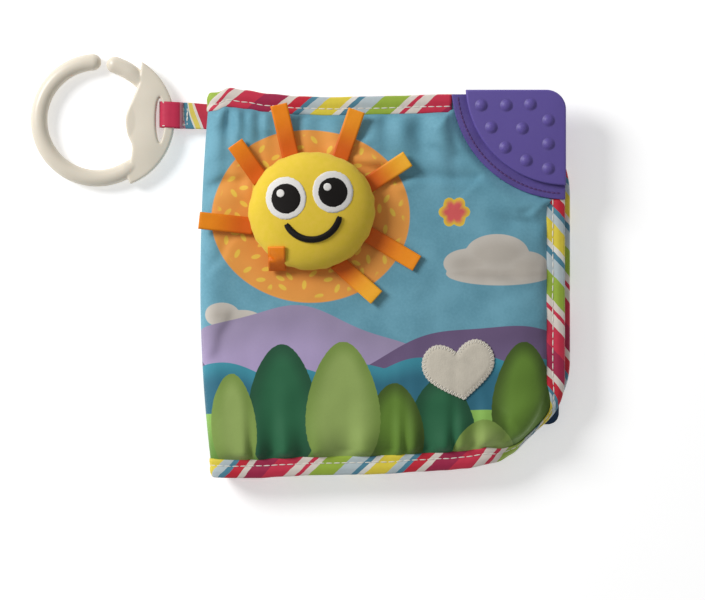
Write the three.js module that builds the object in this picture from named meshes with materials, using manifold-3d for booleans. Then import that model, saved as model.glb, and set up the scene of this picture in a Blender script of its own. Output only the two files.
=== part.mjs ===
import * as THREE from "three";
import { mergeVertices } from "three/addons/utils/BufferGeometryUtils.js";
import Module from "manifold-3d";

// Soft cloth book, closed and lying on its back cover. Millimetres.
// X runs from the spine to the open edge, Y up the page and Z up from the table.
// The origin is on the flat underside of the back cover, half way up the page.

const wasm = await Module();
wasm.setup();

// Driving sizes of the book
const book_height = 156.5;
const spine_offset = 75;
const front_cover_width = 149;
const inner_page_overhang = 2.5;
const back_cover_overhang = 1.5;
const small_page_inset = 2;
const small_page_height = 114.5;

// Thickness of each leaf in its filled middle
const back_cover_thickness = 5;
const small_page_thickness = 3.3;
const inner_page_thickness = 4.4;
const front_cover_thickness = 5.6;
const cover_crown = 1.2;

// Cloth, tape and seams
const cloth_thickness = 0.5;
const film_thickness = 0.6;
const tape_thickness = 0.7;
const binding_width = 7.8;
const pinch_run = 11;
const page_seam_width = 2;
const page_seam_run = 8;
const layer_gap = 0.3;
const spine_roll = 7;
const spine_draw = 8;
const inner_page_root = 2.4;
const small_page_root = 3.4;

// Corners of the leaves
const front_corner_radius = 41;
const under_corner_radius = 72;
const top_corner_radius = 41;
const small_corner_radius = 4.5;
const foot_corner_radius = 3;
const corner_lift = 2;
const corner_bend_run = 5;
const corner_curl_angle = THREE.MathUtils.degToRad(44);

// Corner teether
const teether_radius = 41;
const teether_flange_width = 5.8;
const teether_flange_thickness = 1.2;
const teether_thickness = 6;
const teether_edge_round = 1.6;
const teether_corner_radius = 8;
const teether_overhang_x = 0.2;
const teether_overhang_y = 1.8;
const teether_arc_rise = 2;
const teether_bite = 0.8;
const nub_radius = 2.2;
const nub_height = 1.2;
// Nub centres from the middle of the arc, as shares of the teether's radius
const nub_shares = [
  [-0.845, -0.205], [-0.595, -0.205], [-0.355, -0.195], [-0.745, -0.425], [-0.435, -0.435],
  [-0.175, -0.355], [-0.605, -0.625], [-0.175, -0.59], [-0.395, -0.755], [-0.175, -0.835],
];

// Sun pad
const sun_half_width = 25.8;
const sun_half_height = 24.2;
const sun_height = 14;
const sun_widest_height = 3.6;
const sun_seam_inset = 1.4;
const sun_tilt = THREE.MathUtils.degToRad(8);
const plush_thickness = 1.2;
const sun_backing_thickness = 0.8;
// Middle of the pad, as shares of half the front cover's width and of half the book's height
const sun_place_share = [-0.399, 0.39];
const squeaker_radius = 11;
const squeaker_height = 6.5;
const squeaker_groove = 1.2;
const squeaker_hole_radius = 1.5;

// Ribbon rays round the sun
const ray_width = 7;
const ray_length = 21;
const ray_fold_height = 1.7;
const ray_cloth = 0.4;
const ray_seam_length = 1.6;
const ray_lift = 1.2;
// Angle of the seam point, heading in degrees, and length as a share of ray_length
const ray_shares = [
  [111.6, 103, 1], [61.2, 71, 0.96], [24.3, 33.3, 0.89], [-22.6, -30.8, 1.07],
  [-64.3, -41.7, 0.97], [-165, 173.8, 0.99], [149.4, 125.2, 0.81],
];
const folded_ray_angle = THREE.MathUtils.degToRad(-120.4);
const folded_ray_length = 11;

// Heart patch
const heart_width = 30.3;
const heart_height = 25.4;
const heart_thickness = 0.8;
const heart_tilt = THREE.MathUtils.degToRad(8.9);
// Middle of the patch, as shares of half the cover's width and of half the book's height
const heart_place_share = [0.411, -0.45];

// Clip ring
const ring_radius = 24;
const ring_bar_radius = 3.5;
const ring_mouth_half_gap = 1.05;
const ring_mouth_angle = THREE.MathUtils.degToRad(83.3);
const plate_arc_radius = 28.3;
const plate_shift = 3.65;
const plate_thickness = 4.4;
const plate_edge_round = 1.25;
const thin_bar_width = 3.9;
const slot_half_height = 9.5;
const slot_middle_width = 3.8;
// Inner edge of the grip plate, from foot tip to head tip, as shares of the plate's arc radius
const plate_edge_shares = [
  [0.313, -0.823], [0.364, -0.577], [0.384, -0.377], [0.313, -0.194], [0.293, 0.051],
  [0.404, 0.336], [0.496, 0.558],
];
const plate_foot_angle = THREE.MathUtils.degToRad(-69.3);
const plate_head_angle = THREE.MathUtils.degToRad(58.5);
const ring_entry_foot_angle = THREE.MathUtils.degToRad(-42);
const ring_entry_head_angle = THREE.MathUtils.degToRad(32);

// Strap that joins the ring to the spine
const strap_width = 9.8;
const strap_thickness = 0.7;
const strap_loop_half_length = 4.3;
const strap_loop_slack = 0.8;
const strap_loop_half_height = 2.75;
const strap_loop_squareness = 0.7;
const strap_overlap_length = 3;
const strap_free_length = 13.65;
const strap_root_height = 4.4;
const strap_below_top = 8.5;
const ring_above_strap = -1.4;

// Heights worked out from the stack
const stack_gap = layer_gap;
const edge_half = cloth_thickness + layer_gap / 2;
const binding_half = edge_half + layer_gap + tape_thickness;
const cloth_inset = tape_thickness + layer_gap;
const small_page_bottom = back_cover_thickness + stack_gap;
const inner_page_bottom = small_page_bottom + small_page_thickness + stack_gap;
const inner_page_top = inner_page_bottom + inner_page_thickness;
const front_cover_bottom = inner_page_top + stack_gap;
const inner_edge_height = (inner_page_bottom + inner_page_top) / 2;
const front_edge_height = inner_edge_height + binding_half + stack_gap + binding_half;
const hinge_height = front_cover_bottom;

const inner_page_width = front_cover_width + inner_page_overhang;
const back_cover_width = front_cover_width + back_cover_overhang;
const small_page_width = front_cover_width - small_page_inset;
const half_height = book_height / 2;
const front_right = front_cover_width - spine_offset;
const teether_right = front_right + teether_overhang_x;
const teether_top = half_height + teether_overhang_y;
const teether_arc_y = teether_top + teether_arc_rise;
const flange_radius = teether_radius + teether_flange_width;

const clamp01 = (t) => Math.min(1, Math.max(0, t));
const smooth = (t) => clamp01(t) ** 2 * (3 - 2 * clamp01(t));
const mix = (a, b, t) => a + (b - a) * t;

// Joins a list of triangles' vertices and faces into a geometry
function geometryFrom(vertices, faces) {
  const geometry = new THREE.BufferGeometry();
  geometry.setAttribute("position", new THREE.Float32BufferAttribute(vertices.flat(), 3));
  geometry.setIndex(faces.flat());
  return geometry;
}

function toSolid(geometry) {
  const bare = geometry.clone();
  bare.deleteAttribute("normal");
  bare.deleteAttribute("uv");
  const merged = outward(mergeVertices(bare, 1e-4));
  return new wasm.Manifold(new wasm.Mesh({
    numProp: 3,
    vertProperties: new Float32Array(merged.attributes.position.array),
    triVerts: new Uint32Array(merged.index.array),
  }));
}

// Turns a lathe or sweep whose faces point inwards
function outward(geometry) {
  const { position } = geometry.attributes;
  const counted = Array.from({ length: position.count }, (_, i) => i);
  const index = geometry.index ? Array.from(geometry.index.array) : counted;
  const corner = (i) => new THREE.Vector3().fromBufferAttribute(position, index[i]);
  let volume = 0;
  for (let i = 0; i < index.length; i += 3) {
    volume += corner(i).dot(corner(i + 1).cross(corner(i + 2)));
  }
  if (volume < 0) {
    for (let i = 0; i < index.length; i += 3) [index[i], index[i + 1]] = [index[i + 1], index[i]];
    geometry.setIndex(index);
  }
  return geometry;
}

function fromSolid(solid) {
  const mesh = solid.getMesh();
  const geometry = new THREE.BufferGeometry();
  geometry.setAttribute("position", new THREE.Float32BufferAttribute(mesh.vertProperties, 3));
  geometry.setIndex(Array.from(mesh.triVerts));
  return geometry;
}

const part = new THREE.Group();

function addMesh(parent, name, geometry, color, roughness, metalness = 0) {
  outward(geometry).computeVertexNormals();
  const material = new THREE.MeshStandardMaterial({ color, roughness, metalness });
  const mesh = new THREE.Mesh(geometry, material);
  mesh.name = name;
  parent.add(mesh);
  return mesh;
}

// Points along an arc, both ends included
function arcPoints(x, y, radius, from, to, steps) {
  return Array.from({ length: steps + 1 }, (_, i) => {
    const angle = mix(from, to, i / steps);
    return [x + radius * Math.cos(angle), y + radius * Math.sin(angle)];
  });
}

// Puts evenly spaced points between two corners, both corners left out
function between(a, b, steps) {
  return Array.from({ length: steps - 1 }, (_, i) => {
    const t = (i + 1) / steps;
    return [mix(a[0], b[0], t), mix(a[1], b[1], t)];
  });
}

// Points of the head and foot edges near a rolled spine, as shares of the roll's radius
const roll_step_shares = [0.8, 1.6, 2.3];

// Bound edge of a leaf, from the foot of the spine round the open side to its head
function leafEdge(leaf, inset) {
  const { left, steps } = leaf;
  const [x1, y0, y1] = [leaf.right - inset, leaf.foot + inset, leaf.head - inset];
  const footRadius = leaf.footRadius;
  const corner = leaf.cornerRadius - inset;
  const start = arcPoints(left + footRadius, y0 + footRadius, footRadius, -Math.PI, -Math.PI / 2, 2);
  const lowerArc = arcPoints(x1 - corner, y0 + corner, corner, -Math.PI / 2, 0, steps.corner);
  let upperArc;
  if (leaf.cutRadius) {
    const from = Math.asin((x1 - teether_right) / leaf.cutRadius) - Math.PI / 2;
    const to = Math.asin((teether_arc_y - y1) / leaf.cutRadius) - Math.PI;
    upperArc = arcPoints(teether_right, teether_arc_y, leaf.cutRadius, from, to, steps.top);
  } else {
    const radius = leaf.topRadius - inset;
    upperArc = arcPoints(x1 - radius, y1 - radius, radius, 0, Math.PI / 2, steps.top);
  }
  const end = [left, y1];
  const rollSteps = leaf.rolled ? roll_step_shares.map((share) => left + share * spine_roll) : [];
  const foot = rollSteps.map((x) => [x, y0]);
  const headward = rollSteps.map((x) => [x, y1]).reverse();
  return [
    ...start,
    ...foot,
    ...between(foot.at(-1) ?? start.at(-1), lowerArc[0], steps.side),
    ...lowerArc,
    ...between(lowerArc.at(-1), upperArc[0], steps.side),
    ...upperArc,
    ...between(upperArc.at(-1), headward[0] ?? end, steps.side),
    ...headward,
    end,
  ];
}

function segmentDistance(x, y, a, b) {
  const [dx, dy] = [b[0] - a[0], b[1] - a[1]];
  const t = clamp01(((x - a[0]) * dx + (y - a[1]) * dy) / (dx * dx + dy * dy));
  return Math.hypot(x - a[0] - t * dx, y - a[1] - t * dy);
}

function edgeDistance(edge, x, y) {
  let nearest = Infinity;
  for (let i = 1; i < edge.length; i += 1) {
    nearest = Math.min(nearest, segmentDistance(x, y, edge[i - 1], edge[i]));
  }
  return nearest;
}

const ring_step_shares = [0.25, 0.5, 0.7, 0.8, 0.865, 0.92, 1];
const filling_rings = 4;
// Reach of the tucked strip, as a share of where an inner layer starts
const tuck_share = 1.5;

// Grid of rings that follow a leaf's outline, with the distance of each point to its edges.
// The points near the spine are drawn closer to it, or tucked in behind the given start.
function leafGrid(leaf, start = 0) {
  const edge = leafEdge(leaf, leaf.inset);
  const bound = leafEdge(leaf, 0);
  const spine = between(edge.at(-1), edge[0], leaf.steps.side);
  const outline = [...edge, ...spine];
  const middle = [(leaf.left + leaf.right) / 2, (leaf.foot + leaf.head) / 2];
  const point = (x, y) => {
    let d = x - leaf.left;
    if (leaf.rolled && d < spine_offset) d = d * d / (d + spine_draw * (1 - d / spine_offset));
    if (d < start * tuck_share) d = start + d * (1 - 1 / tuck_share);
    const px = leaf.left + d;
    return { x: px, y, d, e: edgeDistance(bound, px, y) };
  };
  const rings = ring_step_shares.map((share) => outline.map(([x, y]) => (
    point(mix(middle[0], x, share), mix(middle[1], y, share)))));
  return { middle: point(...middle), rings };
}

// Closed sheet between a lower and an upper surface over the same grid
function sheetGeometry(grid, ringCount, lower, upper) {
  const rings = grid.rings.slice(0, ringCount);
  const count = rings[0].length;
  const side = 1 + rings.length * count;
  const vertices = [];
  for (const surface of [upper, lower]) {
    vertices.push(surface(grid.middle));
    for (const ring of rings) for (const p of ring) vertices.push(surface(p));
  }
  const at = (ring, i) => 1 + ring * count + (i % count);
  const flat = [grid.middle, ...rings.flat()];
  const apart = (p, q) => Math.hypot(p.x - q.x, p.y - q.y);
  const faces = [];
  for (let i = 0; i < count; i += 1) {
    faces.push([0, at(0, i), at(0, i + 1)]);
    faces.push([side, side + at(0, i + 1), side + at(0, i)]);
    for (let ring = 1; ring < rings.length; ring += 1) {
      const quad = [at(ring - 1, i), at(ring, i), at(ring, i + 1), at(ring - 1, i + 1)];
      const [a, b, c, d] = quad.map((k) => flat[k]);
      const split = apart(a, c) < apart(b, d) ? [[0, 1, 2], [0, 2, 3]] : [[0, 1, 3], [1, 2, 3]];
      for (const corners of split) {
        const [k, l, m] = corners.map((corner) => quad[corner]);
        faces.push([k, l, m], [side + k, side + m, side + l]);
      }
    }
    const [m, n] = [at(rings.length - 1, i), at(rings.length - 1, i + 1)];
    faces.push([m, side + m, side + n], [m, side + n, n]);
  }
  return geometryFrom(vertices, faces);
}

// Lower and upper skin heights of a leaf, drawn in at its seams
function skinHeights(leaf, p) {
  let fullness = smooth((p.e - leaf.seamWidth) / leaf.seamRun);
  if (!leaf.rolled) fullness *= smooth((p.d - page_seam_width) / page_seam_run);
  const acrossShare = 1 - (p.x / spine_offset) ** 2;
  const alongShare = 1 - (p.y / half_height) ** 2;
  const crown = (leaf.crown ?? 0) * Math.max(0, acrossShare) * Math.max(0, alongShare);
  return {
    low: mix(leaf.edgeHeight - edge_half, leaf.bottom, fullness),
    high: mix(leaf.edgeHeight + edge_half, leaf.top + crown, fullness),
  };
}

// The front cover's lower corner curls down towards the table
const corner_middle = [front_right - front_corner_radius, front_corner_radius - half_height];
const curl_start = binding_width + corner_bend_run;

function curlCorner([x, y, z]) {
  const [dx, dy] = [x - corner_middle[0], y - corner_middle[1]];
  if (dx <= 0 || dy >= 0) return [x, y, z];
  const radial = Math.hypot(dx, dy);
  const weight = Math.sin(2 * Math.atan2(-dy, dx)) ** 2;
  const e = front_corner_radius - radial;
  const lifted = z + corner_lift * weight * (1 - smooth((e - curl_start) / curl_start));
  const total = corner_curl_angle * weight;
  if (e >= curl_start || total < 1e-3) return [x, y, lifted];
  const run = curl_start - e;
  const bent = Math.min(run, corner_bend_run);
  const straight = Math.max(0, run - corner_bend_run);
  const angle = total * bent / corner_bend_run;
  const bendRadius = corner_bend_run / total;
  const height = lifted - front_edge_height - corner_lift * weight;
  const out = bendRadius * Math.sin(angle) + straight * Math.cos(angle) + height * Math.sin(angle);
  const drop = bendRadius * (1 - Math.cos(angle)) + straight * Math.sin(angle);
  const reach = front_corner_radius - curl_start + out;
  return [
    corner_middle[0] + dx / radial * reach,
    corner_middle[1] + dy / radial * reach,
    front_edge_height + corner_lift * weight - drop + height * Math.cos(angle),
  ];
}

// Outer cloth of a cover rolls round the spine to the fold line
function rolledPoint(leaf, p, z, inside) {
  const radius = inside ? spine_roll - cloth_thickness : spine_roll;
  const fold = hinge_height + (leaf.upright ? layer_gap / 2 : -layer_gap / 2);
  if (p.d >= spine_roll) return [p.x, p.y, z];
  const angle = Math.acos(1 - p.d / spine_roll);
  return [
    leaf.left + spine_roll - radius * Math.cos(angle),
    p.y,
    fold + (z - fold) * Math.sin(angle),
  ];
}

// Front cloth, filling and back cloth of one leaf
function leafLayers(leaf, fillingThickness) {
  const grid = leafGrid(leaf);
  const liningGrid = leaf.rolled ? leafGrid(leaf, spine_roll + layer_gap) : grid;
  const shape = leaf.curled ? curlCorner : (point) => point;
  const rollUpper = leaf.rolled && leaf.upright;
  const rollLower = leaf.rolled && !leaf.upright;
  const count = ring_step_shares.length;
  const surface = (pick, rolled, inside) => (p) => {
    const z = pick(skinHeights(leaf, p));
    return shape(rolled ? rolledPoint(leaf, p, z, inside) : [p.x, p.y, z]);
  };
  const upper = sheetGeometry(
    rollUpper || !leaf.rolled ? grid : liningGrid,
    count,
    surface((s) => s.high - cloth_thickness, rollUpper, true),
    surface((s) => s.high, rollUpper, false),
  );
  const lower = sheetGeometry(
    rollLower || !leaf.rolled ? grid : liningGrid,
    count,
    surface((s) => s.low, rollLower, false),
    surface((s) => s.low + cloth_thickness, rollLower, true),
  );
  const clear = cloth_thickness + layer_gap;
  const centre = (s) => (s.low + s.high) / 2;
  const fill = (s) => (fillingThickness ? fillingThickness / 2 : (s.high - s.low) / 2 - clear);
  const filling = sheetGeometry(
    liningGrid,
    filling_rings,
    surface((s) => centre(s) - fill(s), false, false),
    surface((s) => centre(s) + fill(s), false, false),
  );
  return { upper, lower, filling };
}

// Section carried along a flat path: u points inwards from the edge, v is the height
function sweepGeometry(path, section, placePoint) {
  const vertices = [];
  const normalAt = (i) => {
    const a = path[Math.max(0, i - 1)];
    const b = path[Math.min(path.length - 1, i + 1)];
    const length = Math.hypot(b[0] - a[0], b[1] - a[1]);
    return [-(b[1] - a[1]) / length, (b[0] - a[0]) / length];
  };
  path.forEach(([x, y], i) => {
    const [nx, ny] = normalAt(i);
    for (const [u, v] of section) vertices.push(placePoint([x + nx * u, y + ny * u, v]));
  });
  const size = section.length;
  const faces = [];
  for (let i = 1; i < path.length; i += 1) {
    for (let k = 0; k < size; k += 1) {
      const [a, b] = [(i - 1) * size + k, (i - 1) * size + (k + 1) % size];
      faces.push([a, a + size, b + size], [a, b + size, b]);
    }
  }
  const flat = section.map(([u, v]) => new THREE.Vector2(u, v));
  const last = (path.length - 1) * size;
  for (const [a, b, c] of THREE.ShapeUtils.triangulateShape(flat, [])) {
    faces.push([a, b, c], [last + a, last + c, last + b]);
  }
  return geometryFrom(vertices, faces);
}

// Folded tape with its open side towards the page
function bindingSection(edgeHeight) {
  const wall = tape_thickness;
  const [outer, inner] = [binding_half, binding_half - wall];
  const half = [
    [binding_width, outer], [wall, outer], [0, outer - wall],
  ];
  const section = [
    ...half,
    ...half.map(([u, v]) => [u, -v]).reverse(),
    [binding_width, -inner], [wall, -inner], [wall, inner], [binding_width, inner],
  ];
  return section.map(([u, v]) => [u, v + edgeHeight]);
}

function bindingGeometry(path, edgeHeight, placePoint = (point) => point) {
  return sweepGeometry(path, bindingSection(edgeHeight), placePoint);
}

// Bound edge of a leaf without the stretch next to its spine
function edgeFrom(leaf, x) {
  return [[x, leaf.foot], ...leafEdge(leaf, 0).filter((p) => p[0] > x), [x, leaf.head]];
}

const front_steps = { corner: 20, top: 6, side: 5 };
const page_steps = { corner: 5, top: 4, side: 4 };
const small_page_steps = { corner: 3, top: 3, side: 4 };

const bound_leaf = {
  left: -spine_offset,
  foot: -half_height,
  head: half_height,
  footRadius: foot_corner_radius,
  cornerRadius: under_corner_radius,
  topRadius: top_corner_radius,
  inset: cloth_inset,
  seamWidth: binding_width + layer_gap,
  seamRun: pinch_run,
  steps: page_steps,
};

const back_leaf = {
  ...bound_leaf,
  right: back_cover_width - spine_offset,
  bottom: 0,
  top: back_cover_thickness,
  edgeHeight: binding_half,
  rolled: true,
};

const inner_leaf = {
  ...bound_leaf,
  left: inner_page_root - spine_offset,
  right: inner_page_width - spine_offset,
  bottom: inner_page_bottom,
  top: inner_page_top,
  edgeHeight: inner_edge_height,
};

const small_leaf = {
  left: small_page_root - spine_offset,
  right: small_page_width - spine_offset,
  foot: -small_page_height / 2,
  head: small_page_height / 2,
  footRadius: foot_corner_radius,
  cornerRadius: small_corner_radius,
  topRadius: small_corner_radius,
  inset: 0,
  bottom: small_page_bottom,
  top: small_page_bottom + small_page_thickness,
  edgeHeight: small_page_bottom + edge_half,
  seamWidth: page_seam_width,
  seamRun: page_seam_run,
  steps: small_page_steps,
};

const front_leaf = {
  ...bound_leaf,
  right: front_right,
  bottom: front_cover_bottom,
  top: front_cover_bottom + front_cover_thickness,
  edgeHeight: front_edge_height,
  cornerRadius: front_corner_radius,
  cutRadius: teether_radius + teether_bite,
  crown: cover_crown,
  rolled: true,
  upright: true,
  curled: true,
  steps: front_steps,
};

const sky_cloth = 0x7db9cf;
const cream_cloth = 0xd9d2c4;
const wadding_white = 0xeeece6;
const navy_cloth = 0x0e3350;
const binding_crimson = 0xc9304a;
const teether_purple = 0x5d4f8e;
const sun_yellow = 0xefd93b;
const ribbon_orange = 0xf38b1b;
const ring_ivory = 0xe8e2d2;

const back_cover = new THREE.Group();
const small_page = new THREE.Group();
const inner_page = new THREE.Group();
const front_cover = new THREE.Group();
const strap = new THREE.Group();
const clip = new THREE.Group();
part.add(back_cover, small_page, inner_page, front_cover, strap, clip);

// Back cover, on the table
const back_layers = leafLayers(back_leaf);
addMesh(back_cover, "back_cover_cloth", back_layers.lower, sky_cloth, 0.85);
addMesh(back_cover, "back_cover_wadding", back_layers.filling, wadding_white, 0.95);
addMesh(back_cover, "back_cover_lining", back_layers.upper, cream_cloth, 0.85);
const back_path = edgeFrom(back_leaf, back_leaf.left + spine_roll + tape_thickness);
const back_tape = bindingGeometry(back_path, back_leaf.edgeHeight);
addMesh(back_cover, "back_cover_binding", back_tape, binding_crimson, 0.7);

// Small unbound page
const small_layers = leafLayers(small_leaf, film_thickness);
addMesh(small_page, "small_page_front_cloth", small_layers.upper, navy_cloth, 0.8);
addMesh(small_page, "small_page_crinkle_film", small_layers.filling, wadding_white, 0.3);
addMesh(small_page, "small_page_back_cloth", small_layers.lower, navy_cloth, 0.8);

// Inner page with bound edge
const inner_layers = leafLayers(inner_leaf);
addMesh(inner_page, "inner_page_front_cloth", inner_layers.upper, cream_cloth, 0.85);
addMesh(inner_page, "inner_page_wadding", inner_layers.filling, wadding_white, 0.95);
addMesh(inner_page, "inner_page_back_cloth", inner_layers.lower, cream_cloth, 0.85);
const inner_path = edgeFrom(inner_leaf, inner_leaf.left + foot_corner_radius);
const inner_tape = bindingGeometry(inner_path, inner_leaf.edgeHeight);
addMesh(inner_page, "inner_page_binding", inner_tape, binding_crimson, 0.7);

// Front cover
const front_layers = leafLayers(front_leaf);
addMesh(front_cover, "front_cover_cloth", front_layers.upper, sky_cloth, 0.85);
addMesh(front_cover, "front_cover_wadding", front_layers.filling, wadding_white, 0.95);
addMesh(front_cover, "front_cover_lining", front_layers.lower, cream_cloth, 0.85);

const front_edge = leafEdge(front_leaf, 0);
const binding_stop = flange_radius + layer_gap;
const side_stop = teether_arc_y - Math.sqrt(binding_stop ** 2 - (teether_right - front_right) ** 2);
const top_stop = teether_right - Math.sqrt(binding_stop ** 2 - (teether_arc_y - half_height) ** 2);
const binding_root = front_leaf.left + spine_roll / 2;
const side_edge = front_edge.filter(([x, y]) => y < side_stop && x > binding_root);
const side_path = [[binding_root, -half_height], ...side_edge, [front_right, side_stop]];
const top_path = [[top_stop, half_height], ...between([top_stop, half_height], [binding_root, half_height], 6),
  [binding_root, half_height]];
const side_tape = bindingGeometry(side_path, front_edge_height, curlCorner);
const top_tape = bindingGeometry(top_path, front_edge_height);
addMesh(front_cover, "front_cover_side_binding", side_tape, binding_crimson, 0.7);
addMesh(front_cover, "front_cover_top_binding", top_tape, binding_crimson, 0.7);

function shapeFrom(points) {
  return new THREE.Shape(points.map(([x, y]) => new THREE.Vector2(x, y)));
}

// Silicone teether that fills the cover's cut corner
function teetherGeometry() {
  const arcStart = Math.PI + Math.asin(teether_arc_rise / teether_radius);
  const arcEnd = 1.5 * Math.PI;
  const bodyShape = shapeFrom([
    ...arcPoints(teether_right, teether_arc_y, teether_radius, arcStart, arcEnd, 16),
    ...arcPoints(teether_right - teether_corner_radius, teether_top - teether_corner_radius,
      teether_corner_radius, 0, Math.PI / 2, 6),
  ]);
  const body = new THREE.ExtrudeGeometry(bodyShape, {
    depth: teether_thickness - 2 * teether_edge_round,
    bevelThickness: teether_edge_round,
    bevelSize: teether_edge_round,
    bevelOffset: -teether_edge_round,
    bevelSegments: 2,
  }).translate(0, 0, front_cover_bottom + teether_edge_round);
  const outerStart = Math.PI + Math.asin((teether_arc_y - half_height) / flange_radius);
  const outerEnd = arcEnd - Math.asin((teether_right - front_right) / flange_radius);
  const root = teether_radius - teether_edge_round;
  const innerStart = Math.PI + Math.asin((teether_arc_y - half_height) / root);
  const innerEnd = arcEnd - Math.asin((teether_right - front_right) / root);
  const flangeShape = shapeFrom([
    ...arcPoints(teether_right, teether_arc_y, flange_radius, outerStart, outerEnd, 16),
    ...arcPoints(teether_right, teether_arc_y, root, innerEnd, innerStart, 16),
  ]);
  const flangeBottom = front_edge_height + edge_half + layer_gap;
  const flange = new THREE.ExtrudeGeometry(flangeShape, {
    depth: teether_flange_thickness,
    bevelEnabled: false,
  }).translate(0, 0, flangeBottom);
  let solid = toSolid(body).add(toSolid(flange));
  for (const [across, along] of nub_shares) {
    const nub = new THREE.SphereGeometry(nub_radius, 10, 6)
      .rotateX(Math.PI / 2)
      .scale(1, 1, nub_height / nub_radius)
      .translate(teether_right + across * teether_radius, teether_arc_y + along * teether_radius,
        front_cover_bottom + teether_thickness);
    solid = solid.add(toSolid(nub));
  }
  return fromSolid(solid);
}
addMesh(front_cover, "corner_teether", teetherGeometry(), teether_purple, 0.45);

// Highest point of the front cover's cloth near a place
function coverTop(x, y, reach) {
  const bound = leafEdge(front_leaf, 0);
  const samples = arcPoints(x, y, reach, 0, 2 * Math.PI, 12).concat([[x, y]]);
  return Math.max(...samples.map(([sx, sy]) => (
    skinHeights(front_leaf, { x: sx, y: sy, d: sx - front_leaf.left, e: edgeDistance(bound, sx, sy) }).high)));
}

// Sun pad
const sun_middle = [sun_place_share[0] * front_cover_width / 2, sun_place_share[1] * half_height];
const sun_seat = coverTop(sun_middle[0], sun_middle[1], sun_half_width) + layer_gap;
const sun = new THREE.Group();
sun.position.set(sun_middle[0], sun_middle[1], sun_seat);
front_cover.add(sun);
const sun_squash = sun_half_height / sun_half_width;

// Radius and height of the pad's skin, from its seam to its top, drawn in by a wall thickness
function domeProfile(wall) {
  const widest = sun_half_width - wall;
  const seam = widest - sun_seam_inset;
  const rise = sun_height - wall - sun_widest_height;
  const lower = [[seam, 0], [widest - sun_seam_inset / 4, sun_widest_height / 2]];
  const upper = arcPoints(0, 0, 1, 0, Math.PI / 2, 6).map(([c, s]) => (
    [widest * c ** 0.8, sun_widest_height + rise * s]));
  upper[upper.length - 1][0] = 0;
  return [...lower, ...upper];
}

const toVectors = (points) => points.map(([r, z]) => new THREE.Vector2(r, z));
const lathe = (points, segments) => new THREE.LatheGeometry(toVectors(points), segments).rotateX(Math.PI / 2);
const dome_segments = 24;

const plush_profile = [...domeProfile(0), ...domeProfile(plush_thickness).reverse()];
plush_profile.push(plush_profile[0]);
const plush = lathe(plush_profile, dome_segments).scale(1, sun_squash, 1);
addMesh(sun, "sun_pad_plush", fromSolid(toSolid(plush)), sun_yellow, 0.95).rotation.z = sun_tilt;

const backing_radius = sun_half_width - plush_thickness - sun_seam_inset - layer_gap;
const backing = lathe([[0, 0], [backing_radius, 0], [backing_radius, sun_backing_thickness],
  [0, sun_backing_thickness]], dome_segments).scale(1, sun_squash, 1);
addMesh(sun, "sun_pad_backing", fromSolid(toSolid(backing)), sun_yellow, 0.9).rotation.z = sun_tilt;

const stuffing_base = sun_backing_thickness + layer_gap;
const pocket_radius = squeaker_radius + layer_gap;
const pocket_top = stuffing_base + squeaker_height + layer_gap;
const stuffing_skin = domeProfile(plush_thickness + layer_gap).filter(([, z]) => z > stuffing_base);
const stuffing = lathe([
  [0, pocket_top], [pocket_radius, pocket_top], [pocket_radius, stuffing_base],
  [stuffing_skin[0][0] - sun_seam_inset / 2, stuffing_base], ...stuffing_skin,
], dome_segments).scale(1, sun_squash, 1);
addMesh(sun, "sun_pad_stuffing", fromSolid(toSolid(stuffing)), wadding_white, 0.95).rotation.z = sun_tilt;

const squeaker_waist = squeaker_radius - squeaker_groove;
const squeaker_folds = 3;
const squeaker_hole_top = squeaker_height - squeaker_groove;
const squeaker_profile = [
  [0, squeaker_hole_top], [squeaker_hole_radius, squeaker_hole_top], [squeaker_hole_radius, 0],
];
for (let fold = 0; fold < squeaker_folds; fold += 1) {
  squeaker_profile.push([squeaker_waist, squeaker_height * fold / squeaker_folds]);
  squeaker_profile.push([squeaker_radius, squeaker_height * (fold + 0.5) / squeaker_folds]);
}
squeaker_profile.push([squeaker_waist, squeaker_height], [0, squeaker_height]);
const squeaker_fit = Math.min(1, sun_squash);
const squeaker = lathe(squeaker_profile, dome_segments)
  .scale(squeaker_fit, squeaker_fit, 1)
  .translate(0, 0, stuffing_base);
addMesh(sun, "squeaker", fromSolid(toSolid(squeaker)), wadding_white, 0.5).rotation.z = sun_tilt;

// Radius of the sun pad's outline in a given direction
function sunRadius(angle) {
  const turned = angle - sun_tilt;
  return sun_half_width * sun_half_height
    / Math.hypot(sun_half_height * Math.cos(turned), sun_half_width * Math.sin(turned));
}

// Loop of folded ribbon along a curve of reach and height, its two ends sewn together at the start
function ribbonGeometry(curve) {
  const points = curve.map(([t, z]) => new THREE.Vector2(t, z));
  const offset = (i, by) => {
    const a = points[Math.max(0, i - 1)];
    const b = points[Math.min(points.length - 1, i + 1)];
    const along = b.clone().sub(a).normalize();
    return new THREE.Vector2(points[i].x - along.y * by, points[i].y + along.x * by);
  };
  const outer = ray_fold_height / 2;
  const inner = outer - ray_cloth;
  const loop = (by, from) => {
    const there = points.map((_, i) => i).slice(from).map((i) => offset(i, -by));
    const back = points.map((_, i) => i).slice(from).reverse().map((i) => offset(i, by));
    const end = points.at(-1);
    const tip = end.clone().sub(points.at(-2)).normalize().multiplyScalar(by).add(end);
    return [...there, tip, ...back];
  };
  const shape = new THREE.Shape(loop(outer, 0));
  shape.holes.push(new THREE.Path(loop(inner, 1).reverse()));
  return new THREE.ExtrudeGeometry(shape, { depth: ray_width, bevelEnabled: false })
    .translate(0, 0, -ray_width / 2)
    .rotateX(Math.PI / 2);
}

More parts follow.
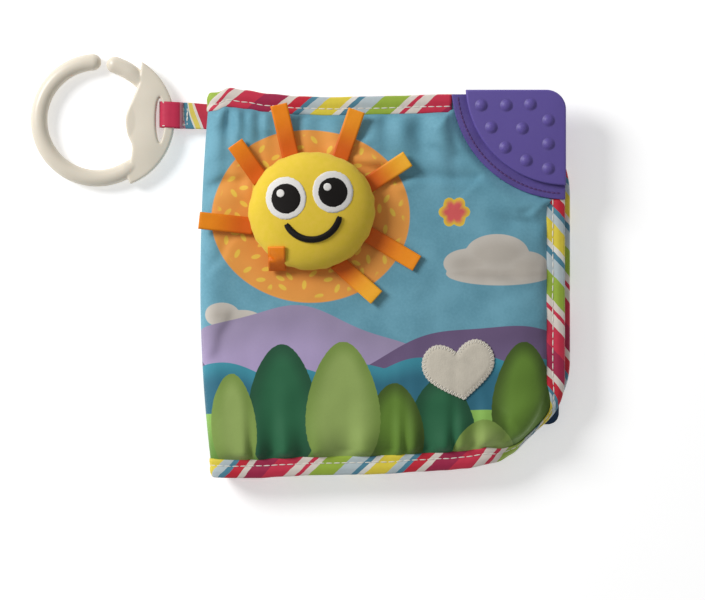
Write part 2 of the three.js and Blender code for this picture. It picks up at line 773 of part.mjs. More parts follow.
// Loops that lie on the cover, each leaving the pad's seam
const ray_base = ray_fold_height / 2 + layer_gap;
ray_shares.forEach(([at, heading, lengthShare], i) => {
  const angle = THREE.MathUtils.degToRad(at);
  const turn = THREE.MathUtils.degToRad(heading);
  const length = ray_length * lengthShare;
  const bend = [[length / 2, 0], [length * 0.75, ray_lift / 3], [length, ray_lift]];
  const curve = [[0, 0], [ray_seam_length, 0], ...bend].map(([t, z]) => [t, ray_base + z]);
  const start = sunRadius(angle) + ray_width / 2 * Math.abs(Math.sin(turn - angle));
  const ray = addMesh(sun, `ribbon_ray_${i + 1}`, ribbonGeometry(curve), ribbon_orange, 0.35);
  ray.position.set(start * Math.cos(angle), start * Math.sin(angle), 0);
  ray.rotation.z = turn;
});

// One loop is folded up over the pad's side
const folded_start = sunRadius(folded_ray_angle);
const folded_clear = ray_fold_height / 2 + layer_gap;
const folded_curve = domeProfile(-folded_clear)
  .filter(([, z]) => z > 0 && z < folded_ray_length)
  .map(([r, z]) => [r * folded_start / sun_half_width, z + layer_gap + ray_cloth]);
folded_curve.unshift([folded_curve[0][0], ray_base]);
const folded_name = `ribbon_ray_${ray_shares.length + 1}`;
const folded_ray = addMesh(sun, folded_name, ribbonGeometry(folded_curve), ribbon_orange, 0.35);
folded_ray.rotation.z = folded_ray_angle;

// Heart patch, sewn flat on the cover
function heartGeometry() {
  const half = heart_width / 2;
  const [lobe, notch] = [heart_height * 0.5, heart_height * 0.3];
  const shape = new THREE.Shape();
  shape.moveTo(0, notch);
  shape.bezierCurveTo(half * 0.1, lobe * 0.8, half * 0.4, lobe * 1.02, half * 0.62, lobe * 0.93);
  shape.bezierCurveTo(half * 1.02, lobe * 0.75, half * 1.12, lobe * 0.1, half * 0.75, -lobe * 0.3);
  shape.bezierCurveTo(half * 0.5, -lobe * 0.6, half * 0.2, -lobe * 0.8, 0, -lobe);
  shape.bezierCurveTo(-half * 0.2, -lobe * 0.8, -half * 0.5, -lobe * 0.6, -half * 0.75, -lobe * 0.3);
  shape.bezierCurveTo(-half * 1.12, lobe * 0.1, -half * 1.02, lobe * 0.75, -half * 0.62, lobe * 0.93);
  shape.bezierCurveTo(-half * 0.4, lobe * 1.02, -half * 0.1, lobe * 0.8, 0, notch);
  return new THREE.ExtrudeGeometry(shape, { depth: heart_thickness, bevelEnabled: false, curveSegments: 6 });
}
const heart_middle = [heart_place_share[0] * front_cover_width / 2, heart_place_share[1] * half_height];
const heart = addMesh(front_cover, "heart_patch", fromSolid(toSolid(heartGeometry())), cream_cloth, 0.95);
const heart_seat = coverTop(heart_middle[0], heart_middle[1], heart_width / 2) + layer_gap;
heart.position.set(heart_middle[0], heart_middle[1], heart_seat);
heart.rotation.z = heart_tilt;

// Strap, folded round the ring's thin bar and sewn back on itself
const strap_root_radius = strap_thickness / 2;
const back_fold_height = hinge_height - layer_gap / 2;
const spine_wall_share = 1 - Math.sqrt(1 - (1 - strap_root_height / back_fold_height) ** 2);
const strap_root_x = spine_roll * spine_wall_share - spine_offset - layer_gap - strap_root_radius;
const strap_y = half_height - strap_below_top;
const loop_x = -spine_offset - strap_free_length;
const loop_height = ring_bar_radius;
strap.position.y = strap_y;

// Points round the loop, a given distance outside the hole for the thin bar
function loopPoints(offset, from, to) {
  const middle = loop_x + strap_loop_slack;
  const squared = (t) => Math.sign(t) * Math.abs(t) ** strap_loop_squareness;
  return arcPoints(0, 0, 1, from, to, 16).map(([c, s]) => [
    middle + (strap_loop_half_length + offset) * squared(c),
    loop_height + (strap_loop_half_height + offset) * squared(s),
  ]);
}

function strapGeometry() {
  const overlap_start = loop_x + strap_loop_slack + strap_loop_half_length + strap_thickness;
  const overlap_end = overlap_start + strap_overlap_length;
  const opening = Math.PI / 5;
  const lift = strap_root_height - loop_height;
  const shape = shapeFrom([
    [overlap_start, loop_height - strap_thickness],
    [overlap_end, loop_height - strap_thickness],
    [overlap_end, loop_height + lift / 2 - strap_root_radius],
    ...arcPoints(strap_root_x, strap_root_height, strap_root_radius, -Math.PI / 2, Math.PI / 2, 4),
    [overlap_end, loop_height + lift / 2 + strap_root_radius],
    [overlap_start, loop_height + strap_thickness],
    ...loopPoints(strap_thickness, opening, 2 * Math.PI - opening),
  ]);
  const hole = loopPoints(0, 0, 2 * Math.PI).slice(1);
  shape.holes.push(new THREE.Path(hole.map(([x, z]) => new THREE.Vector2(x, z))));
  return new THREE.ExtrudeGeometry(shape, { depth: strap_width, bevelEnabled: false })
    .translate(0, 0, -strap_width / 2)
    .rotateX(Math.PI / 2);
}
addMesh(strap, "ring_strap", fromSolid(toSolid(strapGeometry())), binding_crimson, 0.7);

// Clip ring: a round bar bent to a C, a grip plate, and a slot that leaves the thin bar outside it
const thin_bar_middle = plate_arc_radius - thin_bar_width / 2;
const clip_x = loop_x - Math.sqrt(thin_bar_middle ** 2 - ring_above_strap ** 2);
clip.position.set(clip_x, strap_y + ring_above_strap, 0);

function tubeGeometry(from, to, steps) {
  const path = arcPoints(-plate_shift, 0, ring_radius, from, to, steps);
  const section = arcPoints(0, ring_bar_radius, ring_bar_radius, 0, 2 * Math.PI, 10).slice(1);
  return sweepGeometry(path, section, (point) => point);
}

function ringGeometry() {
  const rounding = (ring_bar_radius + ring_mouth_half_gap) / ring_radius;
  const [mouthLeft, mouthRight] = [ring_mouth_angle + rounding, ring_mouth_angle - rounding];
  const end = (angle) => new THREE.SphereGeometry(ring_bar_radius, 10, 8)
    .rotateX(Math.PI / 2)
    .rotateZ(angle)
    .translate(ring_radius * Math.cos(angle) - plate_shift, ring_radius * Math.sin(angle), ring_bar_radius);
  const plateShape = new THREE.Shape(arcPoints(0, 0, plate_arc_radius, plate_foot_angle, plate_head_angle, 18)
    .map(([x, y]) => new THREE.Vector2(x, y)));
  plateShape.splineThru(plate_edge_shares.toReversed()
    .map(([x, y]) => new THREE.Vector2(x * plate_arc_radius, y * plate_arc_radius)));
  const depth = plate_thickness - 2 * plate_edge_round;
  const plate = new THREE.ExtrudeGeometry(plateShape, {
    depth,
    bevelThickness: plate_edge_round,
    bevelSize: plate_edge_round,
    bevelOffset: -plate_edge_round,
    bevelSegments: 2,
    curveSegments: 2,
  }).translate(0, 0, ring_bar_radius - depth / 2);
  const slotOuter = plate_arc_radius - thin_bar_width;
  const slotAngle = Math.asin(slot_half_height / slotOuter);
  const slotTip = slotOuter * Math.cos(slotAngle);
  const bulge = slot_middle_width - (slotOuter - slotTip);
  const slotShape = shapeFrom([
    ...arcPoints(0, 0, slotOuter, -slotAngle, slotAngle, 8),
    ...arcPoints(0, 0, 1, 0, Math.PI, 8).slice(1, -1)
      .map(([c, s]) => [slotTip - bulge * s, slot_half_height * c]),
  ]);
  const slot = toSolid(new THREE.ExtrudeGeometry(slotShape, { depth: 4 * ring_bar_radius, bevelEnabled: false })
    .translate(0, 0, -ring_bar_radius));
  // Rounds the slot's rim on one face, so that the thin bar is rounded as well
  const rimMiddle = (plate_thickness + ring_bar_radius) / 2;
  const rim = (side) => toSolid(new THREE.ExtrudeGeometry(slotShape, {
    depth: ring_bar_radius,
    bevelThickness: plate_edge_round,
    bevelSize: plate_edge_round,
    bevelSegments: 2,
  }).translate(0, 0, ring_bar_radius / 2 + side * rimMiddle));
  return fromSolid(toSolid(plate)
    .add(toSolid(tubeGeometry(mouthLeft, 2 * Math.PI + ring_entry_foot_angle, 26)))
    .add(toSolid(tubeGeometry(ring_entry_head_angle, mouthRight, 5)))
    .add(toSolid(end(mouthLeft)))
    .add(toSolid(end(mouthRight)))
    .subtract(slot)
    .subtract(rim(1))
    .subtract(rim(-1)));
}
addMesh(clip, "clip_ring", ringGeometry(), ring_ivory, 0.4);

export default part;
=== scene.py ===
import math

import bmesh
import bpy
from mathutils import Matrix, Vector, noise


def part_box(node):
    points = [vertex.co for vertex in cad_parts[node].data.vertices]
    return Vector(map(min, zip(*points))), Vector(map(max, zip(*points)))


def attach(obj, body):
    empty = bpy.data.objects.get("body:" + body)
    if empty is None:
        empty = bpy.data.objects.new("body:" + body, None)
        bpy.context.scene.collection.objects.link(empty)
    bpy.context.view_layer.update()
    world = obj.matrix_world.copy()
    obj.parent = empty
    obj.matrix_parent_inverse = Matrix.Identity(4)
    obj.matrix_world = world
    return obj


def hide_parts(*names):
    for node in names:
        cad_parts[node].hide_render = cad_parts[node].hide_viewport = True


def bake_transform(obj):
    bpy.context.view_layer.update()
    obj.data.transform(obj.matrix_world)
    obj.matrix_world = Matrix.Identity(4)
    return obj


bl_info = {
    "name": "Cloth Book",
    "version": (1, 0, 0),
    "blender": (4, 5, 0),
    "location": "View3D > Sidebar > Cloth Book",
    "description": "Builds a padded cloth book with a plush sun, a corner teether and a clip ring",
    "category": "Object",
}

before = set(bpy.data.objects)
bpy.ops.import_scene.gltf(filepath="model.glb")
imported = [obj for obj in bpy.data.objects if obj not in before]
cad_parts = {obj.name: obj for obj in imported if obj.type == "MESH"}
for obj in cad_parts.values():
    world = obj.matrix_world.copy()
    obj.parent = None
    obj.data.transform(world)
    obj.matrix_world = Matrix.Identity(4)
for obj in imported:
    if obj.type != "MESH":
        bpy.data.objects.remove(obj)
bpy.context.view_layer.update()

# Shapes are worked out in millimetres in the row frame, and scaled to metres when a piece is finished
METRE = 0.001
SUN_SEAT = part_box("sun_pad_plush")[0].z / METRE

# Half the covers' height, where the front cover meets the spine, and how far the spine stands out from there
HALF_HEIGHT, SPINE_START, SPINE_ROLL = 78.25, -68.0, 7.0
# Run of the cloth over the upper and the lower half of the spine, and the height where they meet
UPPER_ROLL, LOWER_ROLL, FOLD_HEIGHT = 9.9, 17.0, 13.6
# Heights of the middles of the leaves' edges, and half the thickness of a cover between its tape's two sides
FRONT_EDGE, BACK_EDGE, INNER_EDGE, SMALL_EDGE = 14.7, 1.65, 11.1, 5.95
CLOTH_HALF = 0.65
# Heights of the padded front cover's two sides, of the back cover's lining, and of the gutter by the spine
FRONT_TOP, FRONT_UNDER, BACK_TOP, GUTTER = 19.2, 13.66, 4.95, 1.2
# Middles and radii of the teether's arc and of the curled corner's round
ARC_MIDDLE, ARC_RADIUS = (74.2, 82.05), 41.0
CURL_MIDDLE, CURL_RADIUS = (33.0, -37.25), 41.0
# Middle, half sizes and turn of the sun pad; middle and turn of the heart; middles of the ring and the strap
SUN_MIDDLE, SUN_HALF, SUN_TILT = (-29.73, 30.52), (25.8, 24.2), math.radians(8)
HEART_MIDDLE, HEART_TILT = (30.62, -35.21), math.radians(8.9)
CLIP_MIDDLE = (-114.97, 68.35)
STRAP_MIDDLE = 69.75

# Outlines of the leaves: sides, half height, radii of the lower corner, and the upper corner's radius or cut
LEAVES = {
    "front": {"left": -75.0, "right": 74.0, "half": HALF_HEIGHT, "corner": (CURL_RADIUS, CURL_RADIUS),
              "cut": ARC_RADIUS + 0.8},
    "back": {"left": -75.0, "right": 75.5, "half": HALF_HEIGHT - 0.3, "corner": (72.0, 72.0), "top": 41.0},
    "inner": {"left": -72.6, "right": 76.3, "half": HALF_HEIGHT - 0.5, "corner": (64.0, 47.0), "top": 41.0},
    "small": {"left": -71.6, "right": 72.0, "half": 57.25, "corner": (4.5, 4.5), "top": 4.5},
}

# Where the back cover starts on the panel that runs from the front cover round the spine
ROLL_END = SPINE_START - UPPER_ROLL - LOWER_ROLL
# Curl of the front cover's lower corner: how far in from the edge it starts, its bend's run and its lift
CURL_START, CURL_BEND, CURL_LIFT = 11.4, 4.0, 2.0
# The sun pad's dome: height of its side, rise above it, and how full its side is
SUN_SIDE, SUN_RISE, SUN_PUFF = 3.6, 10.4, 0.8
# Pitch of the covers' weave in millimetres, fineness of the plush, and the attributes that hold the print
COVER_WEAVE, PLUSH_PILE = 0.42, 1900.0
PRINT_LAYERS = ("print_a", "print_b", "print_c")

# How far the head and foot edges stand proud of straight lines: place across the book and shift
HEAD_WAVE = [
    (-80, 0.8), (-72, 1.0), (-67, 2.9), (-59, 1.9), (-47, 0.4), (-35, -0.6), (-22, -1.0), (-10, -0.7),
    (6, -0.4), (23, 0.2), (40, 0.2), (80, 0)
]
FOOT_WAVE = [
    (-80, -0.4), (-65, -0.8), (-52, -0.8), (-42, -0.2), (-29, 0.4), (-7, 0.7), (0, 0.95), (14.6, 1.85),
    (24.6, 2.4), (33, 3.1), (41, 3.8), (50, 2.4), (58, 0), (80, 0)
]
# Ridges and valleys where the wadding is drawn in at the seams: place along the edge and share of the height
FOOT_PUCKERS = [
    (-78, -0.4), (-66, 0.3), (-59.2, 0.8), (-55.8, -0.5), (-52.3, 0.7), (-46, -0.9), (-40.8, 1),
    (-34.2, -0.7), (-27.7, 0.9), (-15.5, -0.9), (-8.4, 1), (3, -1), (5.9, 0.6), (8.5, -0.6),
    (11.7, 0.9), (16.8, -1), (25.2, 1), (28.3, -0.6), (31, 0.8), (37, -0.9), (40.8, 0.9), (50, -0.9),
    (56, 0.4), (80, 0)
]
HEAD_PUCKERS = [
    (-78, 0), (-69, 0.6), (-66, -1), (-61.5, 0.7), (-58.7, -0.3), (-55.4, 0.5), (-51.6, -0.6),
    (-48.9, 0.4), (-44.8, -0.4), (-41.5, 0.3), (-37.2, -0.4), (-31.5, 0.4), (-26, -0.4), (-20, 0.4),
    (-12, -0.5), (-4, 0.6), (0.3, -0.6), (7.2, 0.8), (15, -0.7), (23.6, 0.8), (30, -0.4), (80, 0)
]
SIDE_PUCKERS = [
    (-50, 0.3), (-42, -0.5), (-33, 0.5), (-24, -0.4), (-15, 0.5), (-6, -0.5), (4, 0.6), (12, -0.5),
    (20, 0.6), (27, -0.7), (33, 0.5), (80, 0)
]
# Broad swells of the front cover: place, reach across and up, height
SWELLS = [
    (-60, -20, 12, 16, -1.2), (-66, 64, 5, 6, -1.3), (-60, 66, 3, 6, 0.9), (14, 64, 5, 7, -0.9),
    (8, 64, 4, 7, 0.8), (28, 60, 5, 6, -0.8), (22, 66, 4, 5, 0.8), (60, 18, 8, 9, -0.6),
    (20, 8, 12, 10, 0.5), (-30, -30, 12, 9, 0.5), (-66, 10, 6, 20, 0.4), (-42, -12, 16, 8, 0.5),
    (14, 57, 12, 10, -0.8), (33, 62, 14, 7, 0.5), (30, 52, 14, 5, -0.6), (10, 25, 10, 16, -0.5),
    (46, 8, 16, 14, 0.6), (-12, -18, 14, 8, 0.5), (24, -48, 14, 8, 0.6), (-2, -55, 12, 9, -0.5),
    (-36, -52, 10, 10, -0.5), (44, -38, 8, 12, -0.5), (-66, 60, 7, 6, -0.9), (-58, 52, 9, 6, 0.5),
    (2, 44, 6, 14, -0.4)
]
# Creases of the front cover: start, end, width and height
CREASES = [
    ((58, 43.4), (3, 44.5), 1.5, -1.7), ((-14, 53), (10, 49.5), 1.3, 1.1),
    ((-12, 50.5), (9, 44.5), 1.1, -1.0), ((-9, 46.5), (8, 39.5), 1.2, 1.0),
    ((-74, 41), (-58, 43), 1.6, -1.6), ((-22, 57), (-6, 60), 1.2, 0.9),
    ((14, 58), (30, 52), 1.6, -0.9), ((-52, 62), (-38, 59), 1.2, -0.8), ((40, 4), (60, -2), 1.5, -0.7),
    ((-70, -30), (-62, -12), 1.8, -0.9), ((-62, 20), (-72, 4), 1.5, -0.8),
    ((49.8, 27.6), (67, 23.6), 1.2, -1.0), ((56, 30.4), (66, 33.4), 1.0, -0.8),
    ((-72, 50), (-50, 53.5), 2.0, -0.5), ((-70, 60), (-58, 57), 1.6, 0.5)
]
# Middles and radii of the printed clouds and of the three greens' round tree crowns; the flower's middle
CLOUDS = [
    (46, 13, 13, 8), (34, 9, 10, 6), (58, 8, 9, 6), (47, 5, 22, 5), (-66, -12, 7, 5), (-58, -14, 8, 4),
    (-110, 38, 14, 9), (-122, 32, 16, 7), (-98, 32, 11, 6), (-190, 50, 16, 9), (-203, 44, 14, 7),
    (-176, 44, 13, 7)
]
TREES = [
    [(-63, -56, 10, 20), (-17, -50, 15, 27), (-118, -58, 14, 22), (-172, -55, 14, 25), (41, -70, 13, 13)],
    [(-42, -50, 14.5, 26), (23, -60, 14, 22), (-96, -52, 15, 27), (-196, -50, 16, 28)],
    [(4, -60, 12, 20), (57, -48, 13, 25), (-146, -48, 17, 31), (-222, -56, 15, 24)]
]
FLOWER = (28.5, 30.0)


def smooth(t):
    t = min(max(t, 0.0), 1.0)
    return t * t * (3 - 2 * t)


def mix(a, b, t):
    return a + (b - a) * t


def along(table, x):
    """Value between the places of a table, with a soft turn at each of them"""
    if x <= table[0][0]:
        return table[0][1]
    for (x0, v0), (x1, v1) in zip(table, table[1:]):
        if x <= x1:
            return mix(v0, v1, smooth((x - x0) / (x1 - x0)))
    return table[-1][1]


def segment_place(point, start, end):
    """Signed distance of a point from a segment's line, and how far along the segment it lies"""
    dx, dy = end[0] - start[0], end[1] - start[1]
    length = math.hypot(dx, dy)
    px, py = point[0] - start[0], point[1] - start[1]
    t = (px * dx + py * dy) / (length * length)
    side = (dx * py - dy * px) / length
    return side, t


def edge_distance(leaf, x, y):
    """Distance in from a leaf's free edges; its spine side doesn't count"""
    shape = LEAVES[leaf]
    foot, head, right = -shape["half"], shape["half"], shape["right"]
    nearest = min(y - foot, head - y, right - x)
    rx, ry = shape["corner"]
    cx, cy = right - rx, foot + ry
    if x > cx and y < cy:
        reach = math.hypot((x - cx) / rx, (y - cy) / ry)
        stretch = math.hypot((x - cx) / rx ** 2, (y - cy) / ry ** 2)
        nearest = min(nearest, (1 - reach) * reach / max(stretch, 1e-6))
    if "cut" in shape:
        nearest = min(nearest, math.hypot(x - ARC_MIDDLE[0], y - ARC_MIDDLE[1]) - shape["cut"])
    else:
        r = shape["top"]
        cx, cy = right - r, head - r
        if x > cx and y > cy:
            nearest = min(nearest, r - math.hypot(x - cx, y - cy))
    return nearest


def rise(t):
    """Steep start and soft shoulder, as wadding held down by a bound edge"""
    t = min(max(t, 0.0), 1.0)
    return (1 - (1 - t) ** 2.6) ** 0.62


def curl(x, y, z):
    """Turns the front cover's lower corner down towards the table"""
    dx, dy = x - CURL_MIDDLE[0], y - CURL_MIDDLE[1]
    if dx <= 0 or dy >= 0:
        return x, y, z
    radial = math.hypot(dx, dy)
    weight = math.sin(2 * math.atan2(-dy, dx)) ** 2
    e = CURL_RADIUS - radial
    lift = CURL_LIFT * weight
    lifted = z + lift * (1 - smooth((e - CURL_START) / CURL_START))
    total = current().curl_angle * weight
    if e >= CURL_START or total < 1e-3:
        return x, y, lifted
    run = CURL_START - e
    angle = total * min(run, CURL_BEND) / CURL_BEND
    straight = max(0.0, run - CURL_BEND)
    turn = CURL_BEND / total
    height = lifted - FRONT_EDGE - lift
    out = turn * math.sin(angle) + straight * math.cos(angle) + height * math.sin(angle)
    drop = turn * (1 - math.cos(angle)) + straight * math.sin(angle)
    reach = CURL_RADIUS - CURL_START + out
    return (CURL_MIDDLE[0] + dx / radial * reach, CURL_MIDDLE[1] + dy / radial * reach,
            FRONT_EDGE + lift - drop + height * math.cos(angle))


def settle(x, y):
    """Place of a point where the sewn book has drawn in: bowed spine, wavy head and foot"""
    table, spine_bow = (HEAD_WAVE, 3.8) if y > 0 else (FOOT_WAVE, 5.1)
    shift = (-0.6 + spine_bow * (y / 78) ** 2) * smooth((-45 - x) / 25)
    wave = along(table, x) * smooth((abs(y) - 30) / 48)
    return x + shift, y + wave


def wrap(p, y, front, back, out):
    """Place of a panel that runs from the front cover round the spine to the back cover"""
    t = SPINE_START - p
    if t <= 0:
        x, y = settle(p, y)
        return Vector(curl(x, y, front))
    if t < UPPER_ROLL:
        a = (1 - t / UPPER_ROLL) * math.pi / 2
        x = SPINE_START - (SPINE_ROLL + out) * math.cos(a)
        z = FOLD_HEIGHT + (front - FOLD_HEIGHT) * math.sin(a)
    elif t < UPPER_ROLL + LOWER_ROLL:
        a = (t - UPPER_ROLL) / LOWER_ROLL * math.pi / 2
        x = SPINE_START - (SPINE_ROLL + out) * math.cos(a)
        z = FOLD_HEIGHT - (FOLD_HEIGHT - back) * math.sin(a)
    else:
        x, z = back_x(p), back
    x, y = settle(x, y)
    return Vector((x, y, z))


def back_x(p):
    """Place across the book of a point of the panel on the back cover, and the other way round"""
    return SPINE_START + ROLL_END - p


def panel_x(p):
    """Place across the book of a panel's point, by the leaf that it belongs to"""
    return p if p > SPINE_START - UPPER_ROLL else back_x(p)


def panel_edge(p, y):
    leaf = "front" if p > SPINE_START - UPPER_ROLL else "back"
    return edge_distance(leaf, panel_x(p), y)


def puckers(x, y, inward):
    """Folds that run in from the seams and die out"""
    d = max(inward, 0.0)
    fade = smooth(d / 2.5) * math.exp(-d / 9.5)
    foot, head, side = HALF_HEIGHT + y, HALF_HEIGHT - y, LEAVES["front"]["right"] - x
    near = min(foot, head, side)
    if near == side:
        value = along(SIDE_PUCKERS, y) * 0.5
    elif near == foot:
        value = along(FOOT_PUCKERS, x) * (1 if x < 50 else 0.6)
    else:
        value = along(HEAD_PUCKERS, x) * 0.75
    return value * fade


def front_top(x, y):
    """Height of the front cover's outer cloth before the spine's roll and the corner's curl"""
    e = edge_distance("front", x, y)
    cut = math.hypot(x - ARC_MIDDLE[0], y - ARC_MIDDLE[1]) - LEAVES["front"]["cut"]
    taped, flanged = 7.4, 5.2
    inward = e - taped if e < cut - 0.01 else cut - flanged
    shoulder, crown_height = 15, 1.2
    crown = crown_height * max(0, 1 - (x / 75) ** 2) * max(0, 1 - (y / HALF_HEIGHT) ** 2)
    z = mix(FRONT_EDGE + CLOTH_HALF, FRONT_TOP + crown, rise(inward / shoulder))
    z += puckers(x, y, e - taped) * current().pucker_height / METRE
    soft = smooth(inward / 8)
    z += soft * 0.75 * noise.noise(Vector((x / 23, y / 23, 3.1)))
    z += soft * 0.26 * noise.noise(Vector((x / 8, y / 8, 8.7)))
    for sx, sy, across, up, height in SWELLS:
        d = ((x - sx) / across) ** 2 + ((y - sy) / up) ** 2
        if d < 4:
            z += soft * height * math.exp(-1.6 * d)
    for a, b, width, height in CREASES:
        side, t = segment_place((x, y), a, b)
        if -0.2 < t < 1.2 and abs(side) < 4 * width:
            side += 0.5 * math.sin(t * 9)
            shape = math.exp(-(side / width) ** 2) if side > 0 else math.exp(-(side / (2.2 * width)) ** 2)
            z += soft * height * shape * smooth((t + 0.2) / 0.35) * smooth((1.2 - t) / 0.35)
    return z


def back_bottom(x, y):
    """Height of the back cover's outer cloth, which ripples next to its tape"""
    e = edge_distance("back", x, y)
    full = smooth((e - 7.6) / 11)
    ripple = 0.22 * (1 + math.sin(x / 2.3 + 2 * math.sin(y / 19)))
    ripple *= smooth((e - 6) / 4) * math.exp(-max(e - 10, 0) / 7)
    return mix(BACK_EDGE - CLOTH_HALF, 0.0, full) + ripple


def front_under(x, y):
    """Height of the front cover's lining"""
    e = edge_distance("front", x, y)
    lumps = 0.05 * noise.noise(Vector((x / 14, y / 14, 1.3)))
    return mix(FRONT_EDGE - CLOTH_HALF, FRONT_UNDER, smooth((e - 7.8) / 8)) + lumps


def back_top(x, y):
    """Height of the back cover's lining, which sinks into the gutter by the spine"""
    e = edge_distance("back", x, y)
    clear_of_spine = smooth((x - SPINE_START + 1) / 9)
    z = mix(BACK_EDGE + CLOTH_HALF, BACK_TOP, smooth((e - 7.8) / 10))
    z += 0.12 * noise.noise(Vector((x / 15, y / 15, 5.5))) * smooth((e - 9) / 8) - 0.1
    return mix(GUTTER, z, clear_of_spine)


def outer_place(p, y):
    """Place of a point of the outer cloth's flat cut"""
    x = panel_x(p)
    return wrap(p, y, front_top(p, y) if p > -90 else 0, back_bottom(x, y) if p < -70 else 0, 0.0)


def lining_place(p, y):
    """Place of a point of the lining's flat cut"""
    x = panel_x(p)
    return wrap(p, y, front_under(p, y) if p > -90 else 0, back_top(x, y) if p < -70 else 0, -0.95)


def page_skin(leaf, edge_height, half, low, high):
    """Height functions of a page's two skins, drawn together at its seams"""
    start, run = (7.6, 9) if leaf == "inner" else (0.6, 7)

    def skin(upper):
        def height(x, y):
            e = edge_distance(leaf, x, y)
            root = smooth((x - LEAVES[leaf]["left"] - 1.5) / 8)
            full = smooth((e - start) / run) * root
            wavy = 0.1 * noise.noise(Vector((x / 11, y / 11, 4.0 if upper else 9.0))) * full
            if upper:
                return mix(edge_height + half, high - 0.1, full) + min(wavy, 0)
            return mix(edge_height - half, low + 0.05, full) + max(wavy, 0)
        return height
    return skin(False), skin(True)


def page_place(leaf, x, y, z):
    """Pages lie flat, and the bound one follows the cover's corner down"""
    dx, dy = x - CURL_MIDDLE[0], y - CURL_MIDDLE[1]
    if leaf == "inner" and dx > 0 > dy:
        weight = math.sin(2 * math.atan2(-dy, dx)) ** 2
        out = max(0.0, math.hypot(dx, dy) - 26)
        z -= weight * min(out * out / 28, 3.4)
    return Vector((*settle(x, y), z))


def current():
    return bpy.context.scene.cloth_book_sizes


def colours():
    return bpy.context.scene.cloth_book_colours


def linear(code):
    """Linear colour from a hexadecimal one"""
    parts = [int(code[i:i + 2], 16) / 255 for i in (0, 2, 4)]
    return tuple(c / 12.92 if c <= 0.04045 else ((c + 0.055) / 1.055) ** 2.4 for c in parts)


# Mesh helpers

def flat_layer(bm):
    return bm.verts.layers.float_vector.get("flat") or bm.verts.layers.float_vector.new("flat")


def run_lengths(points):
    """Length along a line up to each of its points"""
    lengths = [0.0]
    for a, b in zip(points, points[1:]):
        lengths.append(lengths[-1] + math.dist(a, b))
    return lengths


def normal_at(path, i):
    """Unit direction to the left of a path at one of its points"""
    a, b = path[max(0, i - 1)], path[min(len(path) - 1, i + 1)]
    span = math.hypot(b[0] - a[0], b[1] - a[1])
    return -(b[1] - a[1]) / span, (b[0] - a[0]) / span


def of_kind(made, kind):
    """The vertices, edges or faces that an operation has made"""
    return [item for item in made["geom"] if isinstance(item, kind)]


def cloth_grid(left, right, foot, head, cell):
    """Flat grid of cloth cells in millimetres"""
    bm = bmesh.new()
    nx, ny = max(2, round((right - left) / cell)), max(2, round((head - foot) / cell))
    bmesh.ops.create_grid(bm, x_segments=nx, y_segments=ny, size=0.5)
    bmesh.ops.scale(bm, vec=(right - left, head - foot, 1), verts=bm.verts)
    bmesh.ops.translate(bm, vec=((left + right) / 2, (foot + head) / 2, 0), verts=bm.verts)
    return bm


def trim(bm, distance, inset):
    """Drops the cells outside an outline and draws the rest's border onto it"""
    value = {v: distance(v.co.x, v.co.y) for v in bm.verts}
    outside = [f for f in bm.faces if all(value[v] < inset + 1e-5 for v in f.verts)]
    bmesh.ops.delete(bm, geom=outside, context="FACES")
    bmesh.ops.delete(bm, geom=[v for v in bm.verts if not v.link_faces], context="VERTS")
    for v in bm.verts:
        for _ in range(3):
            d = distance(v.co.x, v.co.y)
            if d >= inset - 1e-3:
                break
            step = 0.05
            gx = (distance(v.co.x + step, v.co.y) - distance(v.co.x - step, v.co.y)) / (2 * step)
            gy = (distance(v.co.x, v.co.y + step) - distance(v.co.x, v.co.y - step)) / (2 * step)
            size = max(math.hypot(gx, gy), 0.3)
            v.co.x += gx / size * (inset - d)
            v.co.y += gy / size * (inset - d)


def lay_out(bm, place, thickness):
    """Keeps the flat cut as an attribute, puts each point in its place and gives the cloth its thickness"""
    flat = flat_layer(bm)
    for v in bm.verts:
        x, y = v.co.x, v.co.y
        v[flat] = (x, y, 0)
        v.co = place(x, y)
    bm.normal_update()
    if thickness:
        bmesh.ops.solidify(bm, geom=bm.faces[:], thickness=thickness)
        bm.normal_update()


def turned_over(bm):
    """Lets a laid sheet face down"""
    bmesh.ops.reverse_faces(bm, faces=bm.faces[:])
    bm.normal_update()


def run_grid(points, across):
    """Grid with a column for each point of a line and the given number of cells across it"""
    bm = bmesh.new()
    bmesh.ops.create_grid(bm, x_segments=len(points) - 1, y_segments=across, size=0.5)
    return bm


def column(vert, points):
    """Number of the point that a vertex of a run's grid belongs to"""
    return round((vert.co.x + 0.5) * (len(points) - 1))


def strip(path, section, place, thickness, run):
    """Tape whose cross section is carried along a flat path; run scales its pattern"""
    bm = run_grid(path, len(section) - 1)
    flat, lengths = flat_layer(bm), run_lengths(path)
    for v in bm.verts:
        i, j = column(v, path), round((v.co.y + 0.5) * (len(section) - 1))
        (x, y), (nx, ny) = path[i], normal_at(path, i)
        width, inward, height = section[j]
        v[flat] = (lengths[i] * run, width, 0)
        v.co = place(x + nx * inward, y + ny * inward, height, lengths[i], inward)
    thicken(bm, thickness)
    return bm


def thicken(bm, thickness):
    """Gives a laid strip its thickness, with its faces outward"""
    bm.normal_update()
    bmesh.ops.solidify(bm, geom=bm.faces[:], thickness=thickness)
    bmesh.ops.recalc_face_normals(bm, faces=bm.faces[:])


